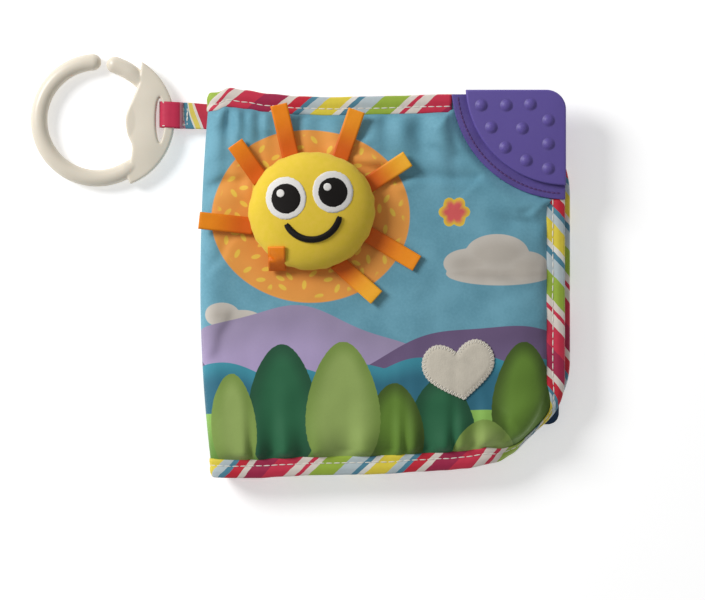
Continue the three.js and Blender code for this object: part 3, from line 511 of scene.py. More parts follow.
def spun(profile, steps):
    """Solid turned about its own axis, from a profile of radii and heights"""
    bm = bmesh.new()
    verts = [bm.verts.new((r, 0, z)) for r, z in profile]
    edges = [bm.edges.new(pair) for pair in zip(verts, verts[1:])]
    bmesh.ops.spin(bm, geom=verts + edges, cent=(0, 0, 0), axis=(0, 0, 1), angle=2 * math.pi, steps=steps,
                   use_merge=True)
    bmesh.ops.remove_doubles(bm, verts=bm.verts[:], dist=1e-4)
    bmesh.ops.recalc_face_normals(bm, faces=bm.faces[:])
    return bm


def add_stitch(bm, a, b, up, radius, material):
    """One stitch: a short rounded run of thread between two points"""
    direction = b - a
    length = direction.length
    if length < 1e-4:
        return
    side = Vector(up).cross(direction).normalized()
    turn = Matrix((direction.normalized(), side, direction.cross(side).normalized())).transposed().to_4x4()
    stretch = Matrix.Diagonal((length / 2 + radius, radius * 1.25, radius, 1))
    place = Matrix.Translation((a + b) / 2) @ turn @ stretch @ Matrix.Rotation(math.pi / 2, 4, "Y")
    made = bmesh.ops.create_uvsphere(bm, u_segments=6, v_segments=6, radius=1, matrix=place)
    for vert in made["verts"]:
        for face in vert.link_faces:
            face.material_index = material


def stitch_run(target, places, pitch, gap, radius, material=1, ups=None):
    """Row of stitches along a list of close points, on cloth that faces up unless told otherwise"""
    bm = bmesh.new()
    lengths = run_lengths(places)

    def at(s):
        i = next(k for k in range(1, len(lengths)) if s <= lengths[k])
        t = (s - lengths[i - 1]) / max(lengths[i] - lengths[i - 1], 1e-6)
        return places[i - 1].lerp(places[i], t), i

    s = gap
    while s + pitch - gap < lengths[-1]:
        (a, i), (b, _) = at(s), at(s + pitch - gap)
        add_stitch(bm, a, b, ups[i] if ups else (0, 0, 1), radius, material)
        s += pitch
    merge_into(target, bm)


def merge_into(target, source):
    """Adds one mesh to another and lets go of it"""
    mesh = bpy.data.meshes.new("join")
    source.to_mesh(mesh)
    source.free()
    target.from_mesh(mesh)
    bpy.data.meshes.remove(mesh)


def finish_piece(bm, name, *finishes):
    """Object at the origin with its place in its mesh, in metres"""
    bmesh.ops.scale(bm, vec=(METRE, METRE, METRE), verts=bm.verts)
    mesh = bpy.data.meshes.new(name)
    bm.to_mesh(mesh)
    bm.free()
    mesh.polygons.foreach_set("use_smooth", [True] * len(mesh.polygons))
    piece = bpy.data.objects.new(name, mesh)
    bpy.context.scene.collection.objects.link(piece)
    for finish in finishes:
        mesh.materials.append(finish_of(finish))
    mesh.update()
    return piece


def stand_for(piece, node, slot, body):
    """Puts a piece in the place of a CAD node, which it hides, and hangs it on the body that carries it; the
    material slot is not used
    """
    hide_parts(node)
    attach(piece, body)


def span_fold(piece, slot, *nodes):
    """Puts a piece in the place of CAD nodes, which it hides, and bakes its place into its mesh"""
    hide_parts(*nodes)
    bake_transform(piece)


# Node helpers

class Nodes:
    """Short way to place and join shader nodes"""

    def __init__(self, tree):
        self.tree = tree

    def add(self, kind, **values):
        node = self.tree.nodes.new(kind)
        for key, value in values.items():
            setattr(node, key, value)
        return node

    def set(self, socket, value):
        if isinstance(value, bpy.types.NodeSocket):
            self.tree.links.new(value, socket)
        elif value is not None:
            present = socket.default_value
            opaque = hasattr(present, "__len__") and len(present) == 4 and len(value) == 3
            socket.default_value = (*value, 1) if opaque else value

    def filled(self, node, **values):
        for key, value in values.items():
            self.set(node.inputs[key], value)
        return node

    def math(self, operation, *values):
        node = self.add("ShaderNodeMath", operation=operation)
        for socket, value in zip(node.inputs, values):
            self.set(socket, value)
        return node.outputs[0]

    def plus(self, a, b):
        return self.math("ADD", a, b)

    def times(self, a, b):
        return self.math("MULTIPLY", a, b)

    def vector(self, operation, a, b=None):
        node = self.add("ShaderNodeVectorMath", operation=operation)
        self.set(node.inputs[0], a)
        self.set(node.inputs["Scale" if operation == "SCALE" else 1], b)
        return node.outputs["Value" if operation == "LENGTH" else "Vector"]

    def parts(self, vector):
        node = self.add("ShaderNodeSeparateXYZ")
        self.set(node.inputs[0], vector)
        return node.outputs

    def mix(self, factor, a, b):
        node = self.add("ShaderNodeMix", data_type="RGBA", clamp_factor=True)
        for place, value in ((0, factor), (6, a), (7, b)):
            self.set(node.inputs[place], value)
        return node.outputs[2]

    def step(self, value, low, high, out_low=0.0, out_high=1.0):
        node = self.add("ShaderNodeMapRange", interpolation_type="SMOOTHSTEP")
        for socket, item in zip(node.inputs, (value, low, high, out_low, out_high)):
            self.set(socket, item)
        return node.outputs[0]

    def noise(self, vector, scale, detail=2.0, roughness=0.5):
        node = self.add("ShaderNodeTexNoise")
        self.filled(node, Vector=vector, Scale=scale, Detail=detail, Roughness=roughness)
        return node.outputs["Fac"]

    def scaled(self, vector, scale, turn=0.0):
        node = self.add("ShaderNodeMapping")
        return self.filled(node, Vector=vector, Scale=scale, Rotation=(0, 0, turn)).outputs[0]

    def bands(self, factor, bands):
        """Plain bands of colour, each with the place from 0 to 1 where it starts"""
        ramp = self.add("ShaderNodeValToRGB")
        self.set(ramp.inputs[0], factor)
        ramp.color_ramp.interpolation = "CONSTANT"
        elements = ramp.color_ramp.elements
        for i, (place, colour) in enumerate(bands):
            element = elements[i] if i < 2 else elements.new(place)
            element.position = place
            element.color = (*colour, 1)
        return ramp.outputs[0]

    def group(self, name, **values):
        node = self.add("ShaderNodeGroup", node_tree=bpy.data.node_groups[name])
        return self.filled(node, **{key.capitalize(): value for key, value in values.items()}).outputs

    def attribute(self, name):
        return self.add("ShaderNodeAttribute", attribute_name=name).outputs["Vector"]

    def flat(self):
        return self.attribute("flat")

    def object(self):
        return self.add("ShaderNodeTexCoord").outputs["Object"]


FLOAT, VECTOR, COLOUR = "NodeSocketFloat", "NodeSocketVector", "NodeSocketColor"


def new_group(name, inputs, outputs):
    """Node group; an input without a default is a vector, and one with four values is a colour"""
    tree = bpy.data.node_groups.new(name, "ShaderNodeTree")
    for label, value in inputs.items():
        kind = VECTOR if value is None else COLOUR if isinstance(value, tuple) else FLOAT
        socket = tree.interface.new_socket(name=label, in_out="INPUT", socket_type=kind)
        if value is not None:
            socket.default_value = value
    for label in outputs:
        kind = COLOUR if label == "Color" else FLOAT
        tree.interface.new_socket(name=label, in_out="OUTPUT", socket_type=kind)
    return Nodes(tree), tree.nodes.new("NodeGroupInput").outputs, tree.nodes.new("NodeGroupOutput").inputs


# Length of the tape's pattern along the tape
TAPE_REPEAT = 80.7


def build_groups():
    """Shared effects: weave, tape stripes, soft stains and pile"""
    n, given, out = new_group("Weave", {"Vector": None, "Pitch": 0.4}, ["Height", "Tint"])
    parts = n.parts(given["Vector"])
    turn = n.math("DIVIDE", 2 * math.pi, given["Pitch"])
    across, up = (n.math("SINE", n.times(parts[k], turn)) for k in (0, 1))
    threads = n.times(n.plus(across, up), 0.25)
    fluff = n.noise(given["Vector"], 0.9, 3.0, 0.6)
    broad = n.noise(given["Vector"], 0.06)
    n.set(out["Height"], n.plus(n.plus(threads, 0.5), n.times(fluff, 0.6)))
    n.set(out["Tint"], n.plus(n.times(broad, 0.7), n.times(fluff, 0.3)))

    n, given, out = new_group("Tape stripes", {"Vector": None, "Start": 0.0}, ["Color"])
    parts, slant = n.parts(given["Vector"]), 1.1
    run = n.plus(n.plus(parts[0], given["Start"]), n.times(parts[1], slant))
    wobble = n.math("SUBTRACT", n.noise(given["Vector"], 0.25), 0.5)
    share = n.math("FRACT", n.math("DIVIDE", n.plus(run, wobble), TAPE_REPEAT))
    shades = colours()
    crimson, dark, red = shades.tape_crimson, linear("A6234B"), linear("CC2438")
    cream, blue, pale = linear("E3D8CE"), linear("4E879E"), linear("BBC8CC")
    yellow, white, lime = shades.tape_yellow, linear("E6E4DC"), shades.tape_lime
    widths = [10, 10, 3.7, 5.7, 2.9, 4.5, 9, 2.9, 2.9, 7.4, 10.7, 3.7, 2, 5.3]
    order = [crimson, dark, cream, red, blue, pale, yellow, white, blue, pale, lime, cream, crimson, cream]
    starts = [sum(widths[:k]) / TAPE_REPEAT for k in range(len(widths))]
    n.set(out["Color"], n.bands(share, zip(starts, order)))

    given_stain = {"Vector": None, "Color": (1, 1, 1, 1), "Scale": 40.0, "Amount": 0.15}
    n, given, out = new_group("Soft stain", given_stain, ["Color"])
    wave = n.noise(given["Vector"], given["Scale"], 4.0, 0.6)
    light = n.plus(1.0, n.times(n.math("SUBTRACT", wave, 0.5), given["Amount"]))
    n.set(out["Color"], n.vector("SCALE", given["Color"], light))

    n, given, out = new_group("Pile", {"Vector": None, "Scale": 1800.0}, ["Height", "Tint"])
    fine = n.noise(given["Vector"], given["Scale"], 3.0, 0.7)
    nap = n.noise(given["Vector"], n.times(given["Scale"], 0.2))
    n.set(out["Height"], n.plus(fine, n.times(nap, 0.25)))
    n.set(out["Tint"], n.plus(n.times(fine, 0.4), n.times(nap, 0.6)))


def new_material(name, base, roughness, height=None, strength=0.2, distance=0.0002, **constants):
    """Principled material; base and height are functions that build nodes and give a socket"""
    material = bpy.data.materials.new(name + "_finish")
    material.use_nodes = True
    n = Nodes(material.node_tree)
    shader = material.node_tree.nodes["Principled BSDF"]
    n.set(shader.inputs["Base Color"], base(n))
    n.set(shader.inputs["Roughness"], roughness(n) if callable(roughness) else roughness)
    if height:
        bump = n.filled(n.add("ShaderNodeBump"), Strength=strength, Distance=distance, Height=height(n))
        n.set(shader.inputs["Normal"], bump.outputs[0])
    for key, value in constants.items():
        n.set(shader.inputs[key.replace("_", " ")], value)


def blob(x, y, cx, cy, rx, ry):
    """Rough depth in millimetres inside an ellipse, negative outside it"""
    u, v = (x - cx) / rx, (y - cy) / ry
    reach = math.hypot(u, v)
    return (1 - reach) * reach / max(math.hypot(u / rx, v / ry), 1e-6) if reach > 0.05 else min(rx, ry)


def print_layers(x, y):
    """Depth inside each printed shape: clouds, hills, bushes, bank, tree crowns and flower"""
    cloud = max(blob(x, y, *c) for c in CLOUDS)
    hill = -6 + 11 * math.cos((x + 40) / 24) + 1.2 * math.sin(x / 7.1) - y - 14
    near = -8 + 12 * math.cos((x - 44) / 27) + 1.4 * math.sin(x / 8.3) - y - 20
    bush = -34 + 3.2 * abs(math.sin(x / 8.2)) + 2.4 * math.sin(x / 23) - y
    bank = -49 + 3.5 * math.cos((x + 20) / 19) - y
    crowns = []
    for kind in TREES:
        depth = -30.0
        for cx, cy, rx, ry in kind:
            narrow = 1 - 0.22 * min(max((y - cy) / ry, -1), 1)
            edge = 0.16 * math.sin(x * 1.9 + cx) * math.sin(y * 1.7)
            depth = max(depth, blob(cx + (x - cx) / narrow, y, cx, cy, rx, ry) + edge)
        crowns.append(depth)
    dx, dy = x - FLOWER[0], y - FLOWER[1]
    turn = math.atan2(dy, dx)
    petals = 4.6 + 1.9 * abs(math.cos(3 * turn)) ** 0.7 - math.hypot(dx, dy)
    return (cloud, hill, near), (bush, bank, crowns[0]), (crowns[1], crowns[2], petals)


# Ring printed round the sun: its middle and radii, and how blurred its edge is
HALO_MIDDLE, HALO_RADII, HALO_BLUR = (-30.1, 28.5, 0), (40.4, 35.6, 1), 0.006


def halo_marks(n, flat):
    """Mask of the pale strokes on the halo, one at its own angle in each cell of a loose grid"""
    spots = n.scaled(flat, (0.165, 0.165, 1), 0.5)
    cells = n.add("ShaderNodeTexVoronoi", feature="F1", voronoi_dimensions="2D")
    n.filled(cells, Vector=spots, Scale=1.0, Randomness=0.6)
    turned = n.add("ShaderNodeVectorRotate", rotation_type="Z_AXIS")
    n.filled(turned, Vector=n.vector("SUBTRACT", spots, cells.outputs["Position"]),
             Angle=n.times(n.parts(cells.outputs["Color"])[0], 3.1))
    return n.step(n.vector("LENGTH", n.scaled(turned.outputs[0], (1, 2.1, 1))), 0.36, 0.26)


def printed_scene(n):
    """Printed sky, sun halo, clouds, round hills and round trees, in one flat cut round the whole cover"""
    shades = colours()
    flat = n.flat()
    blur = 0.12

    def laid(below, depth, near, deep, reach):
        return n.mix(n.step(depth, -blur, blur), below, n.mix(n.step(depth, 0.0, reach), near, deep))

    weave = n.group("Weave", vector=flat, pitch=COVER_WEAVE)
    first, second, third = (n.parts(n.attribute(name)) for name in PRINT_LAYERS)
    colour = n.mix(n.step(weave[1], 0.3, 0.7), linear("629CB0"), shades.sky)
    colour = laid(colour, first[0], shades.cloud, linear("C3BBB0"), 6.0)
    reach = n.vector("LENGTH", n.vector("DIVIDE", n.vector("SUBTRACT", flat, HALO_MIDDLE), HALO_RADII))
    glow = n.mix(n.step(reach, 0.55, 1.0), linear("E89440"), shades.halo)
    marks = n.times(n.times(halo_marks(n, flat), n.step(reach, 0.96, 0.92)), 0.92)
    colour = n.mix(n.step(reach, 1 + HALO_BLUR, 1 - HALO_BLUR), colour, n.mix(marks, glow, linear("F2CC4C")))
    for depth, near, deep, run in (
            (first[1], shades.lilac, linear("B3A2CB"), 22.0),
            (first[2], shades.hill, linear("7B6A92"), 26.0),
            (second[0], linear("3E94A8"), linear("2E6F86"), 9.0),
            (second[1], linear("93C35C"), linear("6E9A40"), 16.0),
            (third[0], linear("1E5438"), shades.dark_green, 9.0),
            (third[1], linear("465F1E"), linear("668A30"), 8.0),
            (second[2], linear("7F9A48"), shades.light_green, 8.0),
            (third[2], linear("E9C63B"), linear("DE5E5E"), 3.0)):
        colour = laid(colour, depth, near, deep, run)
    return n.vector("SCALE", colour, n.math("MULTIPLY_ADD", weave[1], 0.16, 0.92))


def weave_height(pitch):
    return lambda n: n.group("Weave", vector=n.flat(), pitch=pitch)[0]


def pile(scale):
    return lambda n: n.group("Pile", vector=n.object(), scale=scale)[0]


def grain(scale, detail):
    return lambda n: n.noise(n.object(), scale, detail)


def stained(n, vector, colour, scale, amount):
    """Colour with soft stains; the colour is plain or comes from a socket"""
    if not isinstance(colour, bpy.types.NodeSocket):
        colour = (*colour, 1)
    return n.group("Soft stain", vector=vector, color=colour, scale=scale, amount=amount)[0]


def cloth_base(colour, amount=0.16):
    return lambda n: stained(n, n.flat(), colour, 0.35, amount)


def solid_base(colour, scale, amount):
    return lambda n: stained(n, n.object(), colour, scale, amount)


def striped(n, flat, stripes):
    return stained(n, flat, stripes, 0.5, 0.14)


def tape_base(start):
    return lambda n: striped(n, n.flat(), n.group("Tape stripes", vector=n.flat(), start=start)[0])


def strap_base(n):
    """Bands across the strap, from the spine to the loop, fanned out a little near the spine"""
    flat = n.flat()
    parts = n.parts(flat)
    reach = 50
    fan = n.times(n.step(parts[0], 14.0, 7.0), -0.42)
    slant = n.times(n.math("SUBTRACT", parts[1], 5.0), fan)
    share = n.math("DIVIDE", n.plus(parts[0], slant), reach)
    bands = [(0.0, "C8304A"), (5.8, "E9DCD2"), (7.0, "E6D060"), (9.1, "E6E2DA"), (9.7, "4E879E"),
             (12.0, "D98C9B"), (14.8, "C92C50")]
    return striped(n, flat, n.bands(share, [(place / reach, linear(code)) for place, code in bands]))


def satin_painted_light_base(n):
    """Satin with painted light: a painted shade darkens it towards the root, and a painted highlight pales it
    towards the loop's fold, where it turns up to the light
    """
    flat = n.flat()
    parts = n.parts(flat)
    # Mask of the painted light along the loop, from the painted shade at the root to the lit fold
    tip = n.step(parts[0], 4.0, 20.0)
    base = n.mix(tip, linear("DC6200"), colours().ribbon)
    # Painted highlight at the fold, as strong as the loop's value in the flat attribute's third place
    return stained(n, flat, n.mix(n.times(tip, parts[2]), base, linear("FFBC2C")), 0.8, 0.12)


def satin_height(n):
    flat = n.flat()
    return n.plus(n.noise(n.scaled(flat, (0.6, 14, 1)), 1.0), n.group("Weave", vector=flat, pitch=0.3)[0])


def thread_base(code, amount):
    return lambda n: stained(n, n.scaled(n.flat(), (0.8, 5, 1)), linear(code), 1.0, amount)


def thread_height(n):
    wave = n.add("ShaderNodeTexWave", wave_type="BANDS", bands_direction="Y")
    return n.filled(wave, Vector=n.flat(), Scale=0.9, Distortion=1.5, Detail=2.0).outputs["Fac"]


def plush_base(n):
    tint = n.group("Pile", vector=n.object(), scale=PLUSH_PILE)[1]
    return n.mix(n.step(tint, 0.2, 0.8), linear("E8CA38"), colours().sun)


def ring_roughness(n):
    return n.step(n.noise(n.object(), 220.0, 3.0), 0.2, 0.8, 0.3, 0.42)


def sheen(weight, roughness, specular, tint="FFFFFF"):
    return {"Sheen_Weight": weight, "Sheen_Roughness": roughness, "Specular_IOR_Level": specular,
            "Sheen_Tint": linear(tint)}


def translucent(weight, radius):
    """Light that a moulded piece lets in under its skin"""
    return {"Subsurface_Weight": weight, "Subsurface_Radius": radius, "Subsurface_Scale": 0.6}


def build_materials():
    shades = colours()
    cloth = sheen(0.25, 0.45, 0.3)
    for name, base, roughness in (("printed_cloth", printed_scene, 0.62),
                                  ("page_cloth", cloth_base(shades.page), 0.8),
                                  ("navy_cloth", cloth_base(shades.navy), 0.6)):
        new_material(name, base, roughness, weave_height(COVER_WEAVE), 0.25, **cloth)
    for name, start in (("front_tape", 285.0), ("top_tape", 86.1), ("back_tape", 30.0), ("page_tape", 31.0)):
        new_material(name, tape_base(start), 0.5, weave_height(0.5), 0.3, **cloth)
    new_material("strap_webbing", strap_base, 0.5, weave_height(0.5), 0.3, **cloth)
    for name, code in (("thread", "E9E4DA"), ("flange_thread", "5A3A78")):
        new_material(name, solid_base(linear(code), 900.0, 0.2), 0.6, pile(3000.0), 0.2, 0.0001)
    new_material("wadding", solid_base(linear("EFEDE6"), 60.0, 0.2), 0.95, pile(700.0), 0.6, 0.0006)
    new_material("crinkle_film", solid_base(linear("DDE2E4"), 120.0, 0.2), 0.25, grain(160.0, 3.0), 0.5,
                 0.0008)
    new_material("sun_plush", plush_base, 0.9, pile(PLUSH_PILE), 0.35, 0.00022,
                 **sheen(0.35, 0.5, 0.2, "FFF6A0"))
    new_material("satin_ribbon", satin_painted_light_base, 0.45, satin_height, 0.3, 0.00015,
                 **sheen(0.12, 0.3, 0.35, "FFC070"))
    new_material("patch_cloth", cloth_base(shades.patch, 0.2), 0.85, pile(1500.0), 0.35, 0.0003,
                 **sheen(0.3, 0.5, 0.2))
    new_material("teether_silicone", solid_base(shades.teether, 45.0, 0.1), 0.5, grain(2600.0, 2.0), 0.08,
                 0.0001, **translucent(0.15, (0.004, 0.003, 0.005)))
    new_material("teether_flange", solid_base(linear("5C4C96"), 110.0, 0.5), 0.48, grain(1200.0, 2.0), 0.15,
                 **translucent(0.2, (0.004, 0.003, 0.005)))
    new_material("squeaker_plastic", solid_base(linear("E6E4DC"), 90.0, 0.1), 0.4, grain(900.0, 2.0), 0.1)
    new_material("ring_plastic", solid_base(shades.ring, 35.0, 0.06), ring_roughness, grain(500.0, 3.0), 0.06,
                 **translucent(0.12, (0.005, 0.004, 0.003)))
    new_material("eye_white", thread_base("F2EFEA", 0.15), 0.55, thread_height, 0.5, Sheen_Weight=0.3)
    new_material("eye_black", thread_base("120D0B", 0.75), 0.6, thread_height, 0.5, Sheen_Weight=0.05,
                 Specular_IOR_Level=0.2)
    new_material("floor", solid_base((0.86, 0.86, 0.86), 3.0, 0.02), 0.9, Emission_Color=(1, 1, 1),
                 Emission_Strength=0.43, Specular_IOR_Level=0.0)


def finish_of(name):
    return bpy.data.materials[name + "_finish"]


# Cuts and paths

def tape_section():
    """Cross section of the folded tape: width along the cloth, inward place and height, underside first"""
    nose, steps, drawn_reach = 1.15, 5, 7.8
    reach = current().tape_width / METRE
    top = [(1.9, 1.45), (2.8, 1.5), (3.7, 1.42), (4.4, 1.24), (5.0, 1.1), (5.6, 1.22), (6.4, 1.26),
           (7.1, 1.2), (drawn_reach, 1.02)]
    half = [(nose * (1 - math.cos(a)), nose * math.sin(a)) for a in
            (k * math.pi / 2 / steps for k in range(steps + 1))]
    half += [(u * reach / drawn_reach, h) for u, h in top]
    upper = [(w, u, h) for w, (u, h) in zip(run_lengths(half), half)]
    return [(-w, u, -h) for w, u, h in reversed(upper[1:])] + upper


def arc_points(middle, radii, start, end, step):
    count = max(2, round(abs(end - start) * max(radii) / step))
    return [(middle[0] + radii[0] * math.cos(mix(start, end, i / count)),
             middle[1] + radii[1] * math.sin(mix(start, end, i / count))) for i in range(count + 1)]


def joined(points, step):
    """Even steps along straight runs between the given points, which are all kept"""
    path = [points[0]]
    for a, b in zip(points, points[1:]):
        length = math.hypot(b[0] - a[0], b[1] - a[1])
        if length < 1e-4:
            continue
        count = max(1, round(length / step))
        path += [(mix(a[0], b[0], i / count), mix(a[1], b[1], i / count)) for i in range(1, count + 1)]
    return path


def smooth_line(points, count):
    """Soft line through the given points"""
    ends = [points[0], *points, points[-1]]
    line = []
    for a, b, c, d in zip(ends, ends[1:], ends[2:], ends[3:]):
        for i in range(count):
            t = i / count
            line.append(tuple(
                0.5 * (2 * b[k] + (c[k] - a[k]) * t + (2 * a[k] - 5 * b[k] + 4 * c[k] - d[k]) * t * t
                       + (3 * b[k] - a[k] - 3 * c[k] + d[k]) * t ** 3) for k in (0, 1)))
    return line + [points[-1]]


def leaf_path(leaf, left):
    """Edge of a leaf from the foot by the spine, round the open side, to the head by the spine"""
    shape, step = LEAVES[leaf], 1.4
    right, half, (rx, ry), top = shape["right"], shape["half"], shape["corner"], shape["top"]
    lower = arc_points((right - rx, -half + ry), (rx, ry), -math.pi / 2, 0, step)
    upper = arc_points((right - top, half - top), (top, top), 0, math.pi / 2, step)
    return joined([(left, -half), *lower, *upper, (left, half)], step)


def tape_stitches(bm, path, place):
    """Two rows of stitches, on the tape's upper and lower side"""
    size = current()
    seam, skin = 5.0, 1.17
    pitch = (size.stitch_length + size.stitch_gap) / METRE
    for side in (1, -1):
        points, ups = [], []
        for i, (x, y) in enumerate(path):
            nx, ny = normal_at(path, i)
            inward = seam + 0.25 * noise.noise(Vector((i * 0.11, side, 0)))
            spot, above = (place(x + nx * inward, y + ny * inward, side * height, 0, inward)
                           for height in (skin, skin + 1))
            points.append(spot)
            ups.append(above - spot)
        stitch_run(bm, points, pitch, size.stitch_gap / METRE, 0.2, ups=ups)


def front_tape_place(x, y, height, s, inward):
    """Place of a point of the front cover's tape, which is drawn under along the curled corner"""
    dx, dy = x - CURL_MIDDLE[0], y - CURL_MIDDLE[1]
    nose = 1.2
    if dx > 0 > dy and inward > nose:
        angle = math.atan2(-dy, dx)
        drawn = (inward - nose) * current().corner_draw * smooth(angle / 0.45) * smooth((1.45 - angle) / 0.75)
        x, y = x + drawn * math.cos(angle), y - drawn * math.sin(angle)
    height += 0.09 * noise.noise(Vector((s / 5, 2.0 if height > 0 else 7.0, 0))) * min(1, inward / 2)
    return wrap(x, y, FRONT_EDGE + height, BACK_EDGE - height, height - CLOTH_HALF)


def back_tape_place(x, y, height, s, inward):
    return front_tape_place(back_x(x), y, height, s, inward)


def inner_tape_place(x, y, height, s, inward):
    height += 0.07 * noise.noise(Vector((s / 5, 2.0 if height > 0 else 7.0, 3)))
    return page_place("inner", x, y, INNER_EDGE + height)


def sewn_tape(name, finish, path, place, side=1, run=-1.0):
    """Striped tape along a path with its stitches; side is -1 where the path's upper side lies below"""
    section = [(w, u, h * side) for w, u, h in tape_section()]
    bm = strip(path, section, place, current().tape_thickness / METRE, run)
    tape_stitches(bm, path, place)
    return finish_piece(bm, name, finish, "thread")


def slab(borders, cell, low, high, place, name, finish):
    """Closed pad between two surfaces over the same cells; the borders are left, right, foot and head"""
    bm = cloth_grid(*borders, cell)
    flat = flat_layer(bm)
    for v in bm.verts:
        v[flat] = (v.co.x, v.co.y, 0)
    under = bmesh.ops.duplicate(bm, geom=bm.verts[:] + bm.edges[:] + bm.faces[:])
    lower = set(of_kind(under, bmesh.types.BMVert))
    rims = [e for e in bm.edges if e.is_boundary]
    for v in bm.verts:
        x, y = v.co.x, v.co.y
        v.co = place(x, y, low(x, y) if v in lower else high(x, y))
    bmesh.ops.reverse_faces(bm, faces=of_kind(under, bmesh.types.BMFace))
    bmesh.ops.bridge_loops(bm, edges=rims)
    bmesh.ops.recalc_face_normals(bm, faces=bm.faces[:])
    return finish_piece(bm, name, finish)


def dome_height(u, v):
    """Height of the sun pad's skin over its seat, from its own unturned place"""
    reach = min(math.hypot(u / SUN_HALF[0], v / SUN_HALF[1]), 1.0) ** (1 / SUN_PUFF)
    return SUN_SIDE + SUN_RISE * math.sqrt(max(0.0, 1 - min(reach, 1) ** 2))


def dome_profile(radius, side, height, steps):
    """Profile of a dome from its widest ring up to its top"""
    turns = (math.pi / 2 * k / steps for k in range(steps))
    rings = [(radius * math.cos(a) ** SUN_PUFF, side + height * math.sin(a)) for a in turns]
    return rings + [(0.0, side + height)]


def sun_place(u, v, z):
    """Place on the book of a point of the sun pad, from its unturned place and its height over the seat"""
    c, s = math.cos(SUN_TILT), math.sin(SUN_TILT)
    x, y = settle(SUN_MIDDLE[0] + u * c - v * s, SUN_MIDDLE[1] + u * s + v * c)
    return Vector((x, y, SUN_SEAT + z))


def length_property(name, text, value, **limits):
    return bpy.props.FloatProperty(name=name, description=text, default=value, unit="LENGTH",
                                   subtype="DISTANCE", **limits)


class ClothBookSizes(bpy.types.PropertyGroup):
    cloth_cell: length_property("Cloth cell", "Side of one cell of the covers' cloth", 0.0012, min=0.0008)
    cloth_thickness: length_property("Cloth thickness", "Thickness of the covers' outer cloth", 0.00045)
    corner_draw: bpy.props.FloatProperty(
        name="Corner draw", description="Share of the tape's width that turns under at the curled corner",
        default=0.7, min=0, max=0.9, subtype="FACTOR")
    tape_width: length_property("Tape width", "Width of the edge tape on each side", 0.0078)
    tape_thickness: length_property("Tape thickness", "Thickness of the edge tape", 0.00032)
    stitch_length: length_property("Stitch length", "Visible length of one stitch", 0.0024)
    stitch_gap: length_property("Stitch gap", "Gap between two stitches", 0.0008)
    pucker_height: length_property("Pucker height", "Height of the folds along the seams", 0.0027)
    curl_angle: bpy.props.FloatProperty(
        name="Corner curl", description="How far the lower corner turns down", default=math.radians(64),
        unit="ROTATION", subtype="ANGLE")
    nub_height: length_property("Nub height", "Height of the teether's nubs", 0.0011)


def colour_property(name, text, code):
    return bpy.props.FloatVectorProperty(name=name, description=f"Colour of {text}", default=linear(code),
                                         min=0, max=1, size=3, subtype="COLOR")


class ClothBookColours(bpy.types.PropertyGroup):
    sky: colour_property("Sky", "the printed sky and the spine", "74AEC2")
    cloud: colour_property("Cloud", "the printed clouds", "CFC8BE")
    lilac: colour_property("Lilac", "the farther printed hill", "A092B2")
    hill: colour_property("Hill", "the nearer printed hill", "6F5B80")
    halo: colour_property("Halo", "the ring printed round the sun", "F0A24A")
    light_green: colour_property("Light green", "the lighter printed trees", "9AB262")
    dark_green: colour_property("Dark green", "the darker printed trees", "286A46")
    page: colour_property("Page", "the pages and linings", "E4DCCB")
    navy: colour_property("Navy", "the small page", "12385A")
    tape_crimson: colour_property("Tape crimson", "the tape's broad stripe", "D0304C")
    tape_lime: colour_property("Tape lime", "the tape's green stripe", "9CB83F")
    tape_yellow: colour_property("Tape yellow", "the tape's yellow stripe", "E6D244")
    sun: colour_property("Sun", "the plush sun", "EFCD4B")
    # Ribbon: the satin's colour at the fold, the lit end of its painted light; the root is painted darker,
    # and some loops get a painted highlight over it
    ribbon: colour_property("Ribbon", "the satin loops at their fold", "FA8C04")
    patch: colour_property("Patch", "the heart patch", "D6CEBE")
    teether: colour_property("Teether", "the silicone corner", "6353A2")
    ring: colour_property("Ring", "the clip ring and its plate", "E6DDCC")


class CLOTHBOOK_OT_materials(bpy.types.Operator):
    """Make the shared node groups and every material"""
    bl_idname = "cloth_book.materials"
    bl_label = "Materials"

    def execute(self, context):
        build_groups()
        build_materials()
        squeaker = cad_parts["squeaker"]
        squeaker.data.materials.clear()
        squeaker.data.materials.append(finish_of("squeaker_plastic"))
        return {"FINISHED"}


def facing_in(face, flat):
    """How far a face of the outer cloth looks to the inside of the book"""
    p = face.verts[0][flat][0]
    if p > SPINE_START:
        return -face.normal.z
    if p < ROLL_END:
        return face.normal.z
    middle = face.calc_center_median()
    axis_height = 10
    return -face.normal.dot(middle - Vector((SPINE_START, middle.y, axis_height))) / axis_height


class CLOTHBOOK_OT_cover_cloth(bpy.types.Operator):
    """Sew the printed outer cloth and the lining, which both run round the spine"""
    bl_idname = "cloth_book.cover_cloth"
    bl_label = "Cover cloth"

    def execute(self, context):
        size = context.scene.cloth_book_sizes
        borders = (back_x(LEAVES["back"]["right"]), LEAVES["front"]["right"], -HALF_HEIGHT, HALF_HEIGHT)
        flat_size, seam = (0.3125, 0.1565), 1.0
        bm = cloth_grid(*borders, size.cloth_cell / METRE)
        trim(bm, panel_edge, seam)
        printed = [bm.verts.layers.float_vector.new(name) for name in PRINT_LAYERS]
        for v in bm.verts:
            for layer, values in zip(printed, print_layers(v.co.x, v.co.y)):
                v[layer] = values
        lay_out(bm, outer_place, size.cloth_thickness / METRE)
        flat = flat_layer(bm)
        for face in bm.faces:
            face.material_index = 1 if facing_in(face, flat) > 0.05 else 0
        outer = finish_piece(bm, "cover_outer_cloth", "printed_cloth", "page_cloth")
        span_fold(outer, "printed_cloth", "front_cover_cloth", "back_cover_cloth")
        cell, thickness = 2.2, 0.35
        bm = cloth_grid(*borders, cell)
        trim(bm, panel_edge, seam)
        lay_out(bm, lining_place, 0)
        turned_over(bm)
        bmesh.ops.solidify(bm, geom=bm.faces[:], thickness=thickness)
        lining = finish_piece(bm, "cover_lining", "page_cloth")
        span_fold(lining, "page_cloth", "front_cover_lining", "back_cover_lining")
        return {"FINISHED"}


